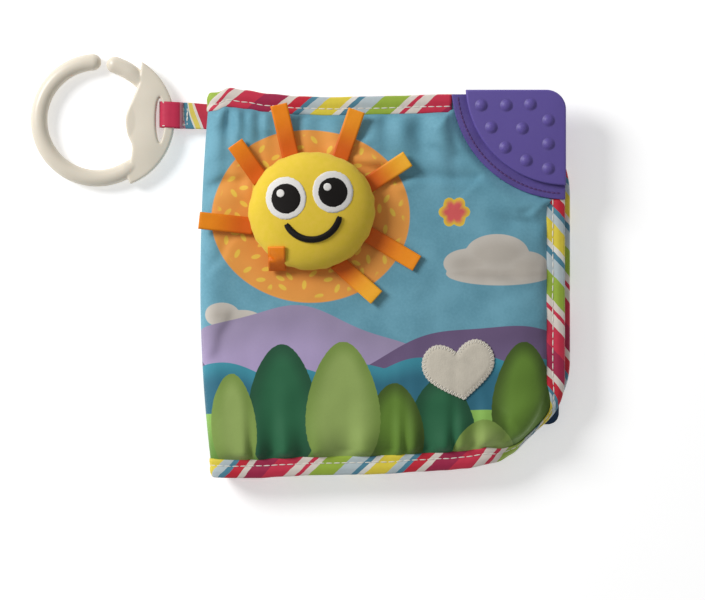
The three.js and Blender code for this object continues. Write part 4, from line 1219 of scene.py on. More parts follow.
class CLOTHBOOK_OT_cover_tapes(bpy.types.Operator):
    """Bind the covers' edges with striped tape and stitch it"""
    bl_idname = "cloth_book.cover_tapes"
    bl_label = "Cover tapes"

    def execute(self, context):
        turn = SPINE_START - UPPER_ROLL - LOWER_ROLL / 3
        below_teether, beside_teether, step = (LEAVES["front"]["right"], 35.5), (27.6, HALF_HEIGHT), 1.3
        corner = arc_points(CURL_MIDDLE, (CURL_RADIUS, CURL_RADIUS), 0, -math.pi / 2, 1.2)
        side_path = joined([below_teether, *corner, (turn, -HALF_HEIGHT)], step)[::-1]
        head_path = joined([beside_teether, (turn, HALF_HEIGHT)], step)
        for name, node, path, finish, run in (
                ("front_side_tape", "front_cover_side_binding", side_path, "front_tape", -1.043),
                ("front_head_tape", "front_cover_top_binding", head_path, "top_tape", -1.0)):
            span_fold(sewn_tape(name, finish, path, front_tape_place, run=run), "binding_tape", node)
        path = leaf_path("back", SPINE_START - LOWER_ROLL * 2 / 3 - 0.4)
        tape = sewn_tape("back_tape", "back_tape", path, back_tape_place, side=-1)
        stand_for(tape, "back_cover_binding", "binding_tape", "back_cover")
        return {"FINISHED"}


class CLOTHBOOK_OT_fillings(bpy.types.Operator):
    """Lay the wadding in the covers and the bound page, and the film in the small page"""
    bl_idname = "cloth_book.fillings"
    bl_label = "Fillings"

    def execute(self, context):
        def lying(x, y, z):
            return Vector((*settle(x, y), z))

        def clear_of_teether(x, y, z):
            drawn_in = min(x, 30 + (x - 30) * 0.55) if y > 20 else x
            return Vector(curl(*settle(drawn_in, y), z))

        for name, body, borders, cell, low, high, place, fill in (
                ("front_wadding", "front_cover", (-63, 55, -60, 58), 3.5,
                 lambda x, y: front_under(x, y) + 0.5,
                 lambda x, y: max(front_top(x, y) - 2.3, front_under(x, y) + 0.7), clear_of_teether, 0.5),
                ("back_wadding", "back_cover", (-60, 52, -52, 52), 4, lambda x, y: back_bottom(x, y) + 0.75,
                 lambda x, y: back_top(x, y) - 0.6, lying, 0.5),
                ("inner_page_padding", "inner_page", (-57, 52, -52, 52), 4, lambda x, y: 9.7,
                 lambda x, y: 12.5, lying, 0.4)):
            pad = slab(borders, cell, low, high, place, name, "wadding")
            stand_for(pad, f"{body}_wadding", "wadding", body)
        film = slab((-57, 57, -45.5, 45.5), 4, lambda x, y: 6.75, lambda x, y: 7.25, lying, "page_film",
                    "crinkle_film")
        stand_for(film, "small_page_crinkle_film", "crinkle_film", "small_page")
        return {"FINISHED"}


class CLOTHBOOK_OT_pages(bpy.types.Operator):
    """Sew the bound inner page and the small loose-edged page"""
    bl_idname = "cloth_book.pages"
    bl_label = "Pages"

    def execute(self, context):
        cell, thickness = 2.0, 0.36
        for leaf, edge, low, high, cloth, half, inset in (
                ("inner", INNER_EDGE, 8.9, 13.3, "page_cloth", 0.55, 1.0),
                ("small", SMALL_EDGE, 5.3, 8.6, "navy_cloth", 0.38, 0.0)):
            shape = LEAVES[leaf]
            lower, upper = page_skin(leaf, edge, half, low, high)
            for skin, side, node in ((upper, "upper", "front_cloth"), (lower, "lower", "back_cloth")):
                bm = cloth_grid(shape["left"], shape["right"], -shape["half"], shape["half"], cell)
                trim(bm, lambda x, y: edge_distance(leaf, x, y), inset)
                lay_out(bm, lambda x, y: page_place(leaf, x, y, skin(x, y)), 0)
                if side == "lower":
                    turned_over(bm)
                bmesh.ops.solidify(bm, geom=bm.faces[:], thickness=thickness)
                piece = finish_piece(bm, f"{leaf}_page_{side}", cloth)
                stand_for(piece, f"{leaf}_page_{node}", cloth, f"{leaf}_page")
        path = leaf_path("inner", LEAVES["inner"]["left"] + 3)
        tape = sewn_tape("inner_page_tape", "page_tape", path, inner_tape_place)
        stand_for(tape, "inner_page_binding", "binding_tape", "inner_page")
        return {"FINISHED"}


def face_disc(name, middle, radii, lift, thickness, finish):
    """Embroidered disc on the sun, pillowed and a little ragged at its rim"""
    bm = bmesh.new()
    bmesh.ops.create_grid(bm, x_segments=26, y_segments=26, size=1)
    flat = flat_layer(bm)
    for v in bm.verts:
        a, b = v.co.x, v.co.y
        u, w = a * math.sqrt(1 - b * b / 2), b * math.sqrt(1 - a * a / 2)
        reach = math.hypot(u, w)
        ragged = 1 + 0.03 * noise.noise(Vector((u * 9, w * 9, lift))) * smooth(reach)
        pu, pw = middle[0] + u * radii[0] * ragged, middle[1] + w * radii[1] * ragged
        v[flat] = (u * radii[0], w * radii[1], 0)
        v.co = sun_place(pu, pw, dome_height(pu, pw) + lift + 0.3 * math.sqrt(max(0.0, 1 - reach ** 4)))
    bm.normal_update()
    bmesh.ops.solidify(bm, geom=bm.faces[:], thickness=thickness)
    return finish_piece(bm, name, finish)


def smile():
    """Embroidered arc of the mouth"""
    radius, middle, half_width = 11.6, -0.4, 0.85
    bm = bmesh.new()
    bmesh.ops.create_grid(bm, x_segments=60, y_segments=8, size=0.5)
    flat = flat_layer(bm)
    for v in bm.verts:
        t, w = v.co.x + 0.5, v.co.y * 2
        angle = mix(math.radians(200), math.radians(340), t)
        ragged = 1 + 0.06 * noise.noise(Vector((t * 22, w, 0)))
        r = radius + w * half_width * ragged * math.sqrt(max(0.05, 1 - (2 * t - 1) ** 12))
        pu, pw = r * math.cos(angle), r * math.sin(angle) + middle
        v[flat] = (r, angle * radius, 0)
        v.co = sun_place(pu, pw, dome_height(pu, pw) + 0.15 + 0.45 * math.sqrt(max(0.0, 1 - w * w)))
    thicken(bm, 0.6)
    return finish_piece(bm, "smile", "eye_black")


class CLOTHBOOK_OT_sun(bpy.types.Operator):
    """Stuff the plush sun and embroider its face"""
    bl_idname = "cloth_book.sun"
    bl_label = "Sun"

    def execute(self, context):
        squeeze = SUN_HALF[1] / SUN_HALF[0]
        profile = [(0.0, 0.3), (22.0, 0.3), (24.2, 0.35), (25.3, 1.6), (25.75, 3.0)]
        bm = spun(profile + dome_profile(SUN_HALF[0], SUN_SIDE, SUN_RISE, 34), 120)
        flat = flat_layer(bm)
        for v in bm.verts:
            x, y, z = v.co
            angle = math.atan2(y, x)
            low = smooth((9 - z) / 7) * smooth((z + 0.2) / 1.0)
            gather = 0.18 * math.sin(17 * angle + 1.3 * math.sin(3 * angle)) + 0.12 * math.sin(29 * angle)
            lumps = 0.35 * noise.noise(v.co / 11)
            r = math.hypot(x, y)
            if r > 1e-3:
                grow = 1 + (gather * low + lumps * smooth(r / 12) * 0.7) / r
                x, y = x * grow, y * grow
            z += lumps * 0.6 * smooth((z - 3) / 5)
            v[flat] = (x, y, z)
            v.co = sun_place(x, y * squeeze, z - 0.3 if z < 1 else z)
        plush = finish_piece(bm, "sun_plush", "sun_plush")
        stand_for(plush, "sun_pad_plush", "sun_plush", "front_cover")

        face = []
        for k, (x, y) in enumerate(((-9.6, 6.2), (9.6, 6.2)), 1):
            face.append(face_disc(f"eye_white_{k}", (x, y), (8.2, 8.7), 0.15, 0.7, "eye_white"))
            face.append(face_disc(f"eye_pupil_{k}", (x, y - 0.2), (5.9, 6.1), 0.42, 0.6, "eye_black"))
            face.append(face_disc(f"eye_glint_{k}", (x - 1.9, y + 2.2), (1.6, 1.6), 0.72, 0.4, "eye_white"))
        for piece in (*face, smile()):
            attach(piece, "front_cover")

        backing = [(0, 0.35), (22.8, 0.35), (22.8, 0.8), (0, 0.8)]
        stuffing = [(0, 8.4), (11.6, 8.4), (11.6, 1.1), (22.6, 1.1), (23.4, 3.0)]
        stuffing += dome_profile(23.4, 3.2, 9.2, 12)
        for name, profile, finish, slot in (("backing", backing, "page_cloth", "sun_plush"),
                                            ("stuffing", stuffing, "wadding", "wadding")):
            bm = spun(profile, 48)
            flat = flat_layer(bm)
            for v in bm.verts:
                v[flat] = v.co
                v.co = sun_place(v.co.x, v.co.y * squeeze, v.co.z)
            piece = finish_piece(bm, f"sun_{name}", finish)
            stand_for(piece, f"sun_pad_{name}", slot, "front_cover")
        return {"FINISHED"}


# Seam angle, heading, length and strength of the painted highlight at the tip of each satin loop
RAYS = [
    (111.6, 103, 20.8, 0.0), (61.2, 71, 19.9, 0.3), (24.3, 33.3, 18.6, 0.9), (-22.6, -30.8, 22.4, 0.15),
    (-64.3, -41.7, 20.4, 0.8), (-165, 173.8, 20.8, 0.1), (149.4, 125.2, 17, 0.0)
]
# How far a loop's root is tucked under the pad's seam
TUCK = 1.2
# The loop that is folded up over the pad: its place, and the distance and height of its run from its root
DRAPED_AT = (-43.7, 0.0)
DRAPED_RUN = [(10.8, 1.5), (8.4, 1.2), (6.8, 1.2), (6.2, 1.9), (6.5, 2.9), (9.4, 5.9), (12.4, 8.9),
              (15.3, 10.9)]


def dome_at(x, y):
    """Height of the sun's skin over its seat at a place on the book"""
    dx, dy = x - SUN_MIDDLE[0], y - SUN_MIDDLE[1]
    c, s = math.cos(SUN_TILT), math.sin(SUN_TILT)
    return dome_height(dx * c + dy * s, dy * c - dx * s)


def ray_root(at):
    """Place on the pad's seam, a little under it, at an angle round its middle"""
    angle = math.radians(at)
    turn = angle - SUN_TILT
    seam = SUN_HALF[0] * SUN_HALF[1] / math.hypot(SUN_HALF[1] * math.cos(turn), SUN_HALF[0] * math.sin(turn))
    return (SUN_MIDDLE[0] + (seam - TUCK) * math.cos(angle), SUN_MIDDLE[1] + (seam - TUCK) * math.sin(angle))


def ray_run(k, length):
    """Distance from the root and height along the middle of a loop"""
    lift = 0.5 + 0.3 * (k % 3)
    return [((length + TUCK) * t, 1.0 + lift * t * t + 0.22 * math.sin(4.5 * t + k) * t) for t in
            (i / 20 for i in range(21))]


def loop_line(centre):
    """The two halves of a folded ribbon on both sides of its middle line, and the round fold between them"""
    sides = []
    for i, (r, z) in enumerate(centre):
        gap = 0.14 + 0.3 * smooth(i / (len(centre) - 1)) ** 1.5
        nr, nz = normal_at(centre, i)
        sides.append((r, z, nr * gap, nz * gap))
    r, z, nr, nz = sides[-1]
    fold = [(r + nz * math.sin(b) + nr * math.cos(b), z - nr * math.sin(b) + nz * math.cos(b)) for b in
            (math.pi * j / 8 for j in range(1, 8))]
    upper = [(r + nr, z + nz) for r, z, nr, nz in sides]
    return upper + fold + [(r - nr, z - nz) for r, z, nr, nz in sides[::-1]]


class CLOTHBOOK_OT_ribbons(bpy.types.Operator):
    """Fold the satin loops round the sun"""
    bl_idname = "cloth_book.ribbons"
    bl_label = "Ribbons"

    def execute(self, context):
        width = 7.0
        loops = [(ray_root(at), heading, ray_run(k, length), pale)
                 for k, (at, heading, length, pale) in enumerate(RAYS)]
        loops.append((DRAPED_AT, 91, smooth_line(DRAPED_RUN, 3), 0.0))
        for k, (base, degrees, centre, pale) in enumerate(loops):
            heading = math.radians(degrees)
            line = loop_line(centre)
            bm = run_grid(line, 8)
            flat, lengths = flat_layer(bm), run_lengths(line)
            for v in bm.verts:
                i, across = column(v, line), v.co.y * width
                r, z = line[i]
                x = base[0] + r * math.cos(heading) - across * math.sin(heading)
                y = base[1] + r * math.sin(heading) + across * math.cos(heading)
                z += 0.16 * noise.noise(Vector((across / 4, r / 6, k))) * min(1, r / 4)
                if base == DRAPED_AT and z > 5:
                    z += (dome_at(x, y) - dome_at(base[0] + r * math.cos(heading), y)) * smooth((z - 5) / 4)
                # Third place of the flat attribute: the strength of the loop's painted highlight at its fold
                v[flat] = (min(lengths[i], lengths[-1] - lengths[i]), across, pale)
                v.co = Vector((x, y, SUN_SEAT + z))
            thicken(bm, 0.16)
            ribbon = finish_piece(bm, f"ribbon_{k + 1}", "satin_ribbon")
            stand_for(ribbon, f"ribbon_ray_{k + 1}", "satin_ribbon", "front_cover")
        return {"FINISHED"}


def heart_outline():
    """Heart round its own middle, tip down, in millimetres"""
    half, lobe, notch, count = 15.15, 12.7, 7.62, 12
    shares = [(0, 0.6), (0.1, 0.8), (0.4, 1.02), (0.62, 0.93), (1.02, 0.75), (1.12, 0.1), (0.75, -0.3),
              (0.5, -0.6), (0.2, -0.8), (0, -1)]
    knots = [(half * x, lobe * y) for x, y in shares]
    knots[0] = (0, notch)
    points = []
    for first in (0, 3, 6):
        for t in (i / count for i in range(count)):
            weights = [(1 - t) ** 3, 3 * t * (1 - t) ** 2, 3 * t * t * (1 - t), t ** 3]
            share = list(zip(weights, knots[first:first + 4]))
            points.append((sum(w * x for w, (x, _) in share), sum(w * y for w, (_, y) in share)))
    points.append(knots[-1])
    return points + [(-x, y) for x, y in reversed(points[1:-1])]


class CLOTHBOOK_OT_heart(bpy.types.Operator):
    """Sew the bare heart patch on the front cover"""
    bl_idname = "cloth_book.heart"
    bl_label = "Heart patch"

    def execute(self, context):
        outline = heart_outline()
        pairs = list(zip(outline, outline[1:] + outline[:1]))
        lengths = run_lengths(outline + outline[:1])
        total = lengths[-1]

        def distance(x, y):
            """Distance in from the patch's edge, negative outside it"""
            nearest, inside = 1e9, False
            for (x0, y0), (x1, y1) in pairs:
                dx, dy = x1 - x0, y1 - y0
                t = min(1, max(0, ((x - x0) * dx + (y - y0) * dy) / (dx * dx + dy * dy)))
                nearest = min(nearest, math.hypot(x - x0 - t * dx, y - y0 - t * dy))
                if (y0 > y) != (y1 > y) and x < x0 + (y - y0) / dy * dx:
                    inside = not inside
            return nearest if inside else -nearest

        def sewn(x, y):
            """Place on the cover of a point of the patch, which is pressed down at its edge"""
            c, s = math.cos(HEART_TILT), math.sin(HEART_TILT)
            px, py = HEART_MIDDLE[0] + x * c - y * s, HEART_MIDDLE[1] + x * s + y * c
            around = ((0, 0), (0.8, 0), (-0.8, 0), (0, 0.8), (0, -0.8))
            ground = max(front_top(px + dx, py + dy) for dx, dy in around)
            spot = Vector(curl(*settle(px, py), ground))
            full = smooth(distance(x, y) / 2.6)
            spot.z += 0.42 + 0.5 * full + 0.1 * noise.noise(Vector((x / 4, y / 4, 0))) * full
            return spot

        def on_edge(s, inset):
            """Flat place at a length along the patch's edge, moved in from it"""
            i = max(k for k, value in enumerate(lengths) if value <= s % total)
            (ax, ay), (bx, by) = pairs[i]
            size = math.hypot(bx - ax, by - ay)
            dx, dy = (bx - ax) / size, (by - ay) / size
            run = s % total - lengths[i]
            return ax + dx * run + dy * inset, ay + dy * run - dx * inset

        cell, thickness = 0.62, 0.4
        bm = cloth_grid(-16, 16, -13, 13, cell)
        trim(bm, distance, 0.0)
        lay_out(bm, sewn, thickness)
        # Whipped stitches that lean in and out in turn, each with its end outside the patch a little lower
        thread, within, beyond, share = bmesh.new(), (1.45, 0.12), (-0.2, -0.05), 0.62
        count = int(total / 0.82)
        for step in range(count):
            ends = []
            sides = (beyond, within) if step % 2 else (within, beyond)
            for s, (inset, lift) in zip((step, step + share), sides):
                ends.append(sewn(*on_edge(s * total / count, inset)) + Vector((0, 0, lift)))
            add_stitch(thread, *ends, (0, 0, 1), 0.14, 1)
        merge_into(bm, thread)
        heart = finish_piece(bm, "heart", "patch_cloth", "thread")
        stand_for(heart, "heart_patch", "patch_cloth", "front_cover")
        return {"FINISHED"}


# Nubs of the teether: their places in shares of its radius from the middle of its arc
NUBS = [
    (-0.845, -0.205), (-0.595, -0.205), (-0.355, -0.195), (-0.745, -0.425), (-0.435, -0.435),
    (-0.175, -0.355), (-0.605, -0.625), (-0.175, -0.59), (-0.395, -0.755), (-0.175, -0.835)
]
# The teether's block and its flange: low and high side, rounding of the rims
BLOCK = (13.62, 19.6, 1.3)
FLANGE = (15.72, 16.9, 0.45)
# How far the flange reaches past the block's arc and into it, and where it is sewn
FLANGE_OUT, FLANGE_IN, FLANGE_SEAM = 5.8, 1.0, 3.4


def prism(outline, low, high, rounding, segments):
    """Flat outline pulled up to a block, its rims rounded"""
    bm = bmesh.new()
    face = bm.faces.new([bm.verts.new((x, y, low)) for x, y in outline])
    made = bmesh.ops.extrude_face_region(bm, geom=[face])
    bmesh.ops.translate(bm, vec=(0, 0, high - low), verts=of_kind(made, bmesh.types.BMVert))
    bmesh.ops.recalc_face_normals(bm, faces=bm.faces[:])
    round_rims(bm, [e for e in bm.edges if lies_level(e)], rounding, segments)
    return bm


def lies_level(edge):
    return abs(edge.verts[0].co.z - edge.verts[1].co.z) < 1e-5


def round_rims(bm, rims, rounding, segments):
    bmesh.ops.bevel(bm, geom=rims, offset=rounding, offset_type="OFFSET", segments=segments, profile=0.5,
                    affect="EDGES", material=-1, clamp_overlap=True)


def crease_shading(piece):
    """Keeps the sharp steps of a moulded piece sharp under smooth shading"""
    sharpest = math.radians(38)
    bm = bmesh.new()
    bm.from_mesh(piece.data)
    for edge in bm.edges:
        edge.smooth = len(edge.link_faces) == 2 and edge.calc_face_angle(0) < sharpest
    bm.to_mesh(piece.data)
    bm.free()


class CLOTHBOOK_OT_teether(bpy.types.Operator):
    """Mould the silicone corner with its nubs and its sewn flange"""
    bl_idname = "cloth_book.teether"
    bl_label = "Corner teether"

    def execute(self, context):
        mx, my = ARC_MIDDLE
        head_gap, corner = 2.0, 8
        west, south = math.pi, 1.5 * math.pi

        def arc(radius, start, end, step=0.8):
            return arc_points(ARC_MIDDLE, (radius, radius), start, end, step)

        outline = arc(ARC_RADIUS, west + math.asin(head_gap / ARC_RADIUS), south)
        outline += arc_points((mx - corner, my - head_gap - corner), (corner, corner), 0, math.pi / 2, 0.7)
        bm = prism(outline, *BLOCK, 5)
        nub, root = current().nub_height / METRE, -0.5
        profile = [(0.0, root), (2.75, root), (2.75, -0.03), (2.45, 0.07), (2.1, 0.3), (1.65, nub * 0.62),
                   (1.05, nub * 0.9), (0.0, nub)]
        for across, up in NUBS:
            part = spun(profile, 20)
            place = (mx + across * ARC_RADIUS, my + up * ARC_RADIUS, BLOCK[1])
            bmesh.ops.translate(part, vec=place, verts=part.verts)
            merge_into(bm, part)
        outer, inner = ARC_RADIUS + FLANGE_OUT, ARC_RADIUS - FLANGE_IN
        below = my - HALF_HEIGHT - 0.1
        first = west + math.asin(below / outer)
        last = south - math.asin((mx - 74.05) / outer)
        ring = arc(outer, first, last)
        ring += arc(inner, south - math.asin(0.15 / inner), west + math.asin(below / inner))
        flange = prism(ring, *FLANGE, 3)
        for face in flange.faces:
            face.material_index = 1
        merge_into(bm, flange)
        seam = ARC_RADIUS + FLANGE_SEAM
        points = [Vector((mx + seam * math.cos(a), my + seam * math.sin(a), FLANGE[1] + 0.03)) for a in
                  (mix(first + 0.02, last - 0.02, i / 60) for i in range(61))]
        stitch_run(bm, points, 1.9, 0.6, 0.3, 2)
        teether = finish_piece(bm, "teether", "teether_silicone", "teether_flange", "flange_thread")
        crease_shading(teether)
        stand_for(teether, "corner_teether", "teether_silicone", "front_cover")
        return {"FINISHED"}


# The ring's round bar: its radius, the radius of the ring and its middle's shift from the plate's;
# the mouth's direction and how far the round ends reach into it, and how far each run goes under the plate
BAR, RING_RADIUS, RING_SHIFT = 3.5, 24.0, -3.65
MOUTH, ROUNDING = math.radians(83.3), (3.5 + 1.05) / 24
LONG_END, SHORT_END = math.radians(330), math.radians(20)
# The grip plate: radius of its arc, half its thickness and the rounding of its rims; the slot's half height,
# how far it lies in from the arc and how wide it is
PLATE_ARC, PLATE_HALF, PLATE_ROUNDING = 28.3, 2.75, 1.15
SLOT_HALF, SLOT_INSET, SLOT_WIDTH = 9.5, 3.9, 3.8
# The plate's inner edge, in shares of the arc's radius
PLATE_SHARES = [(0.313, -0.823), (0.364, -0.577), (0.384, -0.377), (0.313, -0.194), (0.293, 0.051),
                (0.404, 0.336), (0.496, 0.558)]


def ring_run(start, end):
    """Run of the ring's bar from its rounded end at the mouth to its end in the plate"""
    part = bmesh.new()
    bmesh.ops.create_circle(part, segments=28, radius=BAR)
    bmesh.ops.rotate(part, cent=(0, 0, 0), matrix=Matrix.Rotation(math.pi / 2, 3, "X"), verts=part.verts)
    bmesh.ops.translate(part, vec=(RING_RADIUS, 0, 0), verts=part.verts)
    bmesh.ops.rotate(part, cent=(0, 0, 0), matrix=Matrix.Rotation(start, 3, "Z"), verts=part.verts)
    steps = max(8, round(abs(end - start) * RING_RADIUS / 0.8))
    edges, first = part.edges[:], part.verts[:]
    bmesh.ops.spin(part, geom=first + edges, cent=(0, 0, 0), axis=(0, 0, 1), angle=end - start, steps=steps)
    # Rounded end at the mouth: rings that shrink as they run on
    middle = Vector((RING_RADIUS * math.cos(start), RING_RADIUS * math.sin(start), 0))
    tangent = Vector((-math.sin(start), math.cos(start), 0)) * (1 if end < start else -1)
    edges = [e for e in part.edges if all(v in first for v in e.verts)]
    shrink, ahead = 1.0, 0.0
    for k in range(1, 8):
        angle = math.pi / 2 * k / 8
        made = bmesh.ops.extrude_edge_only(part, edges=edges)
        verts, edges = of_kind(made, bmesh.types.BMVert), of_kind(made, bmesh.types.BMEdge)
        scale, centre = math.cos(angle) / shrink, middle + tangent * ahead
        bmesh.ops.scale(part, vec=(scale,) * 3, space=Matrix.Translation(-centre), verts=verts)
        bmesh.ops.translate(part, vec=tangent * (BAR * math.sin(angle) - ahead), verts=verts)
        shrink, ahead = math.cos(angle), BAR * math.sin(angle)
    bmesh.ops.holes_fill(part, edges=[e for e in part.edges if e.is_boundary], sides=0)
    bmesh.ops.recalc_face_normals(part, faces=part.faces[:])
    return part


def flatten_bar(bm):
    """Makes the bar lower and thinner where it runs into the plate, and moves it to its place by the plate"""
    for v in bm.verts:
        angle = math.degrees(math.atan2(v.co.y, v.co.x))
        inside = smooth((58 - angle) / 24) if angle > 0 else smooth((angle + 62) / 22)
        if -95 < angle < 65:
            v.co.z *= mix(1.0, 0.66, inside)
            reach = math.hypot(v.co.x, v.co.y)
            drawn = mix(reach, RING_RADIUS + (reach - RING_RADIUS) * 0.8, inside)
            v.co.x, v.co.y = v.co.x / reach * drawn, v.co.y / reach * drawn
        v.co.x += RING_SHIFT


def grip_plate():
    """Flat plate with its slot; the thin bar is what stands between the slot and the plate's arc"""
    outline = arc_points((0, 0), (PLATE_ARC, PLATE_ARC), math.radians(-69.3), math.radians(58.5), 0.9)
    outline += smooth_line([(x * PLATE_ARC, y * PLATE_ARC) for x, y in reversed(PLATE_SHARES)], 6)
    outer = PLATE_ARC - SLOT_INSET
    angle = math.asin(SLOT_HALF / outer)
    tip = outer * math.cos(angle)
    bulge = SLOT_WIDTH - (outer - tip)
    slot = arc_points((0, 0), (outer, outer), -angle, angle, 0.8)
    slot += [(tip - bulge * math.sin(a), SLOT_HALF * math.cos(a)) for a in
             (math.pi * k / 22 for k in range(1, 22))]
    plate = bmesh.new()
    edges = []
    for line in (outline, slot):
        verts = [plate.verts.new((x, y, -PLATE_HALF)) for x, y in line]
        edges += [plate.edges.new((a, b)) for a, b in zip(verts, verts[1:] + verts[:1])]
    bmesh.ops.triangle_fill(plate, use_beauty=True, use_dissolve=False, edges=edges)
    made = bmesh.ops.extrude_face_region(plate, geom=plate.faces[:])
    bmesh.ops.translate(plate, vec=(0, 0, 2 * PLATE_HALF), verts=of_kind(made, bmesh.types.BMVert))
    bmesh.ops.recalc_face_normals(plate, faces=plate.faces[:])
    rims = [e for e in plate.edges if len(e.link_faces) == 2 and e.calc_face_angle(0) > 1.2 and lies_level(e)]
    round_rims(plate, rims, PLATE_ROUNDING, 4)
    return plate


def swell_plate(ring):
    """Crowns the plate's two faces between its arc and the ring's open middle"""
    for v in ring.data.vertices:
        x, y, z = v.co / METRE - Vector((*CLIP_MIDDLE, BAR))
        angle = math.degrees(math.atan2(y, x))
        inward = (PLATE_ARC - math.hypot(x, y)) / 16
        swell = 0.75 * math.sin(math.pi * min(max(inward, 0), 1)) * smooth((58 - abs(angle + 5)) / 30)
        v.co.z += swell * z / PLATE_HALF * METRE


def fuse(piece):
    """Joins the overlapping solids of a moulded piece into one soft-edged skin"""
    join = piece.modifiers.new("join", "REMESH")
    join.mode = "VOXEL"
    join.voxel_size = 0.00036
    join.use_smooth_shade = True
    soften = piece.modifiers.new("soften", "SMOOTH")
    soften.iterations = 3
    soften.factor = 0.5
    old, materials = piece.data, list(piece.data.materials)
    made = bpy.data.meshes.new_from_object(piece.evaluated_get(bpy.context.evaluated_depsgraph_get()))
    piece.modifiers.clear()
    piece.data = made
    made.materials.clear()
    for material in materials:
        made.materials.append(material)
    made.polygons.foreach_set("use_smooth", [True] * len(made.polygons))
    bpy.data.meshes.remove(old)


class CLOTHBOOK_OT_ring(bpy.types.Operator):
    """Mould the clip ring: open bar, grip plate, slot and thin bar"""
    bl_idname = "cloth_book.ring"
    bl_label = "Clip ring"

    def execute(self, context):
        bm = bmesh.new()
        for start, end in ((MOUTH + ROUNDING, LONG_END), (MOUTH - ROUNDING, SHORT_END)):
            merge_into(bm, ring_run(start, end))
        flatten_bar(bm)
        merge_into(bm, grip_plate())
        bmesh.ops.translate(bm, vec=(*CLIP_MIDDLE, BAR), verts=bm.verts)
        ring = finish_piece(bm, "ring", "ring_plastic")
        fuse(ring)
        swell_plate(ring)
        stand_for(ring, "clip_ring", "ring_plastic", "clip")
        return {"FINISHED"}


# The strap's loop round the thin bar: its middle and half sizes across and up
LOOP_MIDDLE, LOOP_HALF = (-87.85, 3.5), (4.55, 3.0)
STRAP_WIDTH = 10.7


def strap_line():
    """Run of the strap from the spine, round the thin bar and back under itself"""
    def squared(t):
        return math.copysign(abs(t) ** 0.7, t)

    turns = (mix(math.radians(30), math.radians(330), k / 30) for k in range(31))
    loop = [(LOOP_MIDDLE[0] + LOOP_HALF[0] * squared(math.cos(a)),
             LOOP_MIDDLE[1] + LOOP_HALF[1] * squared(math.sin(a))) for a in turns]
    leaving = [(-70.6, 4.7), (-72.5, 4.55), (-76, 4.4), (-79.5, 4.3), (-81.2, 4.32), (-82.6, 4.35),
               (-83.6, 4.6)]
    return smooth_line([*leaving, *loop, (-83.9, 2.9), (-83.0, 3.35), (-82.0, 3.55), (-80.9, 3.55)], 3)


class CLOTHBOOK_OT_strap(bpy.types.Operator):
    """Fold the striped strap round the ring's thin bar and sew it"""
    bl_idname = "cloth_book.strap"
    bl_label = "Strap"

    def execute(self, context):
        line = strap_line()
        bm = run_grid(line, 14)
        flat, lengths = flat_layer(bm), run_lengths(line)
        for v in bm.verts:
            i, across = column(v, line), v.co.y * STRAP_WIDTH
            x, z = line[i]
            skew = smooth((x + 82) / 8)
            narrow = 1 - 0.03 * smooth((x + 80) / 6)
            z += 0.16 * math.sin(across * 0.9 + x * 0.25) * smooth((x + 84) / 3)
            v[flat] = (lengths[i], across + 5, 0)
            v.co = (x + 0.05 * across * skew, STRAP_MIDDLE + across * narrow - 0.05 * (x + 74), z)
        thicken(bm, 0.5)
        foot = STRAP_MIDDLE - 4.3
        for x in (-82.9, -81.3):
            across = [Vector((x + 0.15 * math.sin(k * 1.7), foot + 9.5 * k / 12, 4.72)) for k in range(13)]
            stitch_run(bm, across, 2.1, 0.35, 0.3)
        loop_edge = [Vector((-92.0 + k, foot + 0.4 + 0.05 * k, mix(6.55, 4.85, smooth((k - 6) / 3))))
                     for k in range(12)]
        spine_edge = [Vector((-80 + k, foot, 4.75)) for k in range(7)]
        for edge in (loop_edge, spine_edge):
            stitch_run(bm, edge, 2.6, 0.6, 0.26)
        strap = finish_piece(bm, "strap", "strap_webbing", "thread")
        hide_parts("ring_strap")
        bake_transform(strap)
        return {"FINISHED"}


# The photograph's width in pixels and the size of one on the book, and the camera's height above the floor
PHOTO_WIDTH, PIXEL = 705, 0.00041
CAMERA_HEIGHT, FOCUS_HEIGHT, SENSOR = 1.5, 0.015, 36


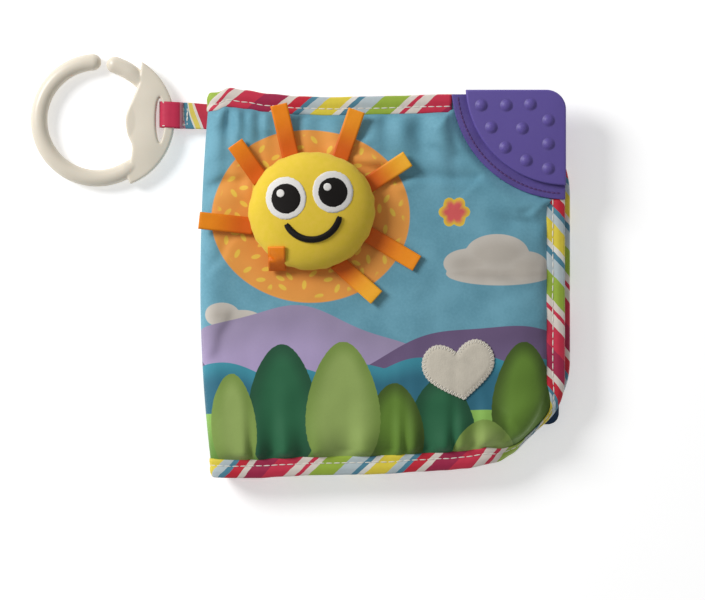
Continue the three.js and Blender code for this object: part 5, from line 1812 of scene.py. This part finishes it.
class CLOTHBOOK_OT_stage(bpy.types.Operator):
    """Set the pale floor, the soft light and the camera straight above"""
    bl_idname = "cloth_book.stage"
    bl_label = "Stage"

    def execute(self, context):
        scene = context.scene
        bm = bmesh.new()
        bmesh.ops.create_grid(bm, x_segments=1, y_segments=1, size=3000)
        bmesh.ops.translate(bm, vec=(0, 0, -0.05), verts=bm.verts)
        finish_piece(bm, "floor", "floor")
        world = bpy.data.worlds.new("studio")
        scene.world = world
        world.use_nodes = True
        background = world.node_tree.nodes["Background"].inputs
        background["Color"].default_value = (1.0, 1.0, 1.0, 1)
        background["Strength"].default_value = 0.32
        lamp = bpy.data.lights.new("key", "AREA")
        lamp.shape = "DISK"
        lamp.size = 0.6
        lamp.energy = 17.5
        light = bpy.data.objects.new("key", lamp)
        scene.collection.objects.link(light)
        light.location = (-1.07, 0.63, 0.88)
        target = Vector((-0.01, 0.0, 0.01))
        light.rotation_euler = (target - light.location).to_track_quat("-Z", "Y").to_euler()
        camera_data = bpy.data.cameras.new("camera")
        camera = bpy.data.objects.new("camera", camera_data)
        scene.collection.objects.link(camera)
        camera_data.sensor_width = SENSOR
        camera_data.sensor_fit = "HORIZONTAL"
        camera_data.lens = SENSOR * (CAMERA_HEIGHT - FOCUS_HEIGHT) / (PHOTO_WIDTH * PIXEL)
        camera_data.clip_start, camera_data.clip_end = 0.01, 20
        camera.location = (-0.01312, -0.00595, CAMERA_HEIGHT)
        scene.camera = camera
        scene.view_settings.view_transform = "Standard"
        return {"FINISHED"}


class CLOTHBOOK_PT_panel(bpy.types.Panel):
    bl_idname = "CLOTHBOOK_PT_panel"
    bl_label = "Cloth Book"
    bl_space_type = "VIEW_3D"
    bl_region_type = "UI"
    bl_category = "Cloth Book"

    def draw(self, context):
        layout = self.layout
        for owner in (context.scene.cloth_book_sizes, context.scene.cloth_book_colours):
            box = layout.box()
            for key in owner.__annotations__:
                box.prop(owner, key)
        for operator in OPERATORS:
            layout.operator(operator.bl_idname)


OPERATORS = [CLOTHBOOK_OT_materials, CLOTHBOOK_OT_cover_cloth, CLOTHBOOK_OT_cover_tapes,
             CLOTHBOOK_OT_pages, CLOTHBOOK_OT_fillings, CLOTHBOOK_OT_sun, CLOTHBOOK_OT_ribbons,
             CLOTHBOOK_OT_heart, CLOTHBOOK_OT_teether, CLOTHBOOK_OT_strap, CLOTHBOOK_OT_ring,
             CLOTHBOOK_OT_stage]
CLASSES = [ClothBookSizes, ClothBookColours, *OPERATORS, CLOTHBOOK_PT_panel]


def register():
    for cls in CLASSES:
        bpy.utils.register_class(cls)
    bpy.types.Scene.cloth_book_sizes = bpy.props.PointerProperty(type=ClothBookSizes)
    bpy.types.Scene.cloth_book_colours = bpy.props.PointerProperty(type=ClothBookColours)


def unregister():
    del bpy.types.Scene.cloth_book_sizes
    del bpy.types.Scene.cloth_book_colours
    for cls in reversed(CLASSES):
        bpy.utils.unregister_class(cls)


def main():
    register()
    for operator in OPERATORS:
        family, action = operator.bl_idname.split(".")
        getattr(getattr(bpy.ops, family), action)()


if __name__ == "__main__":
    main()
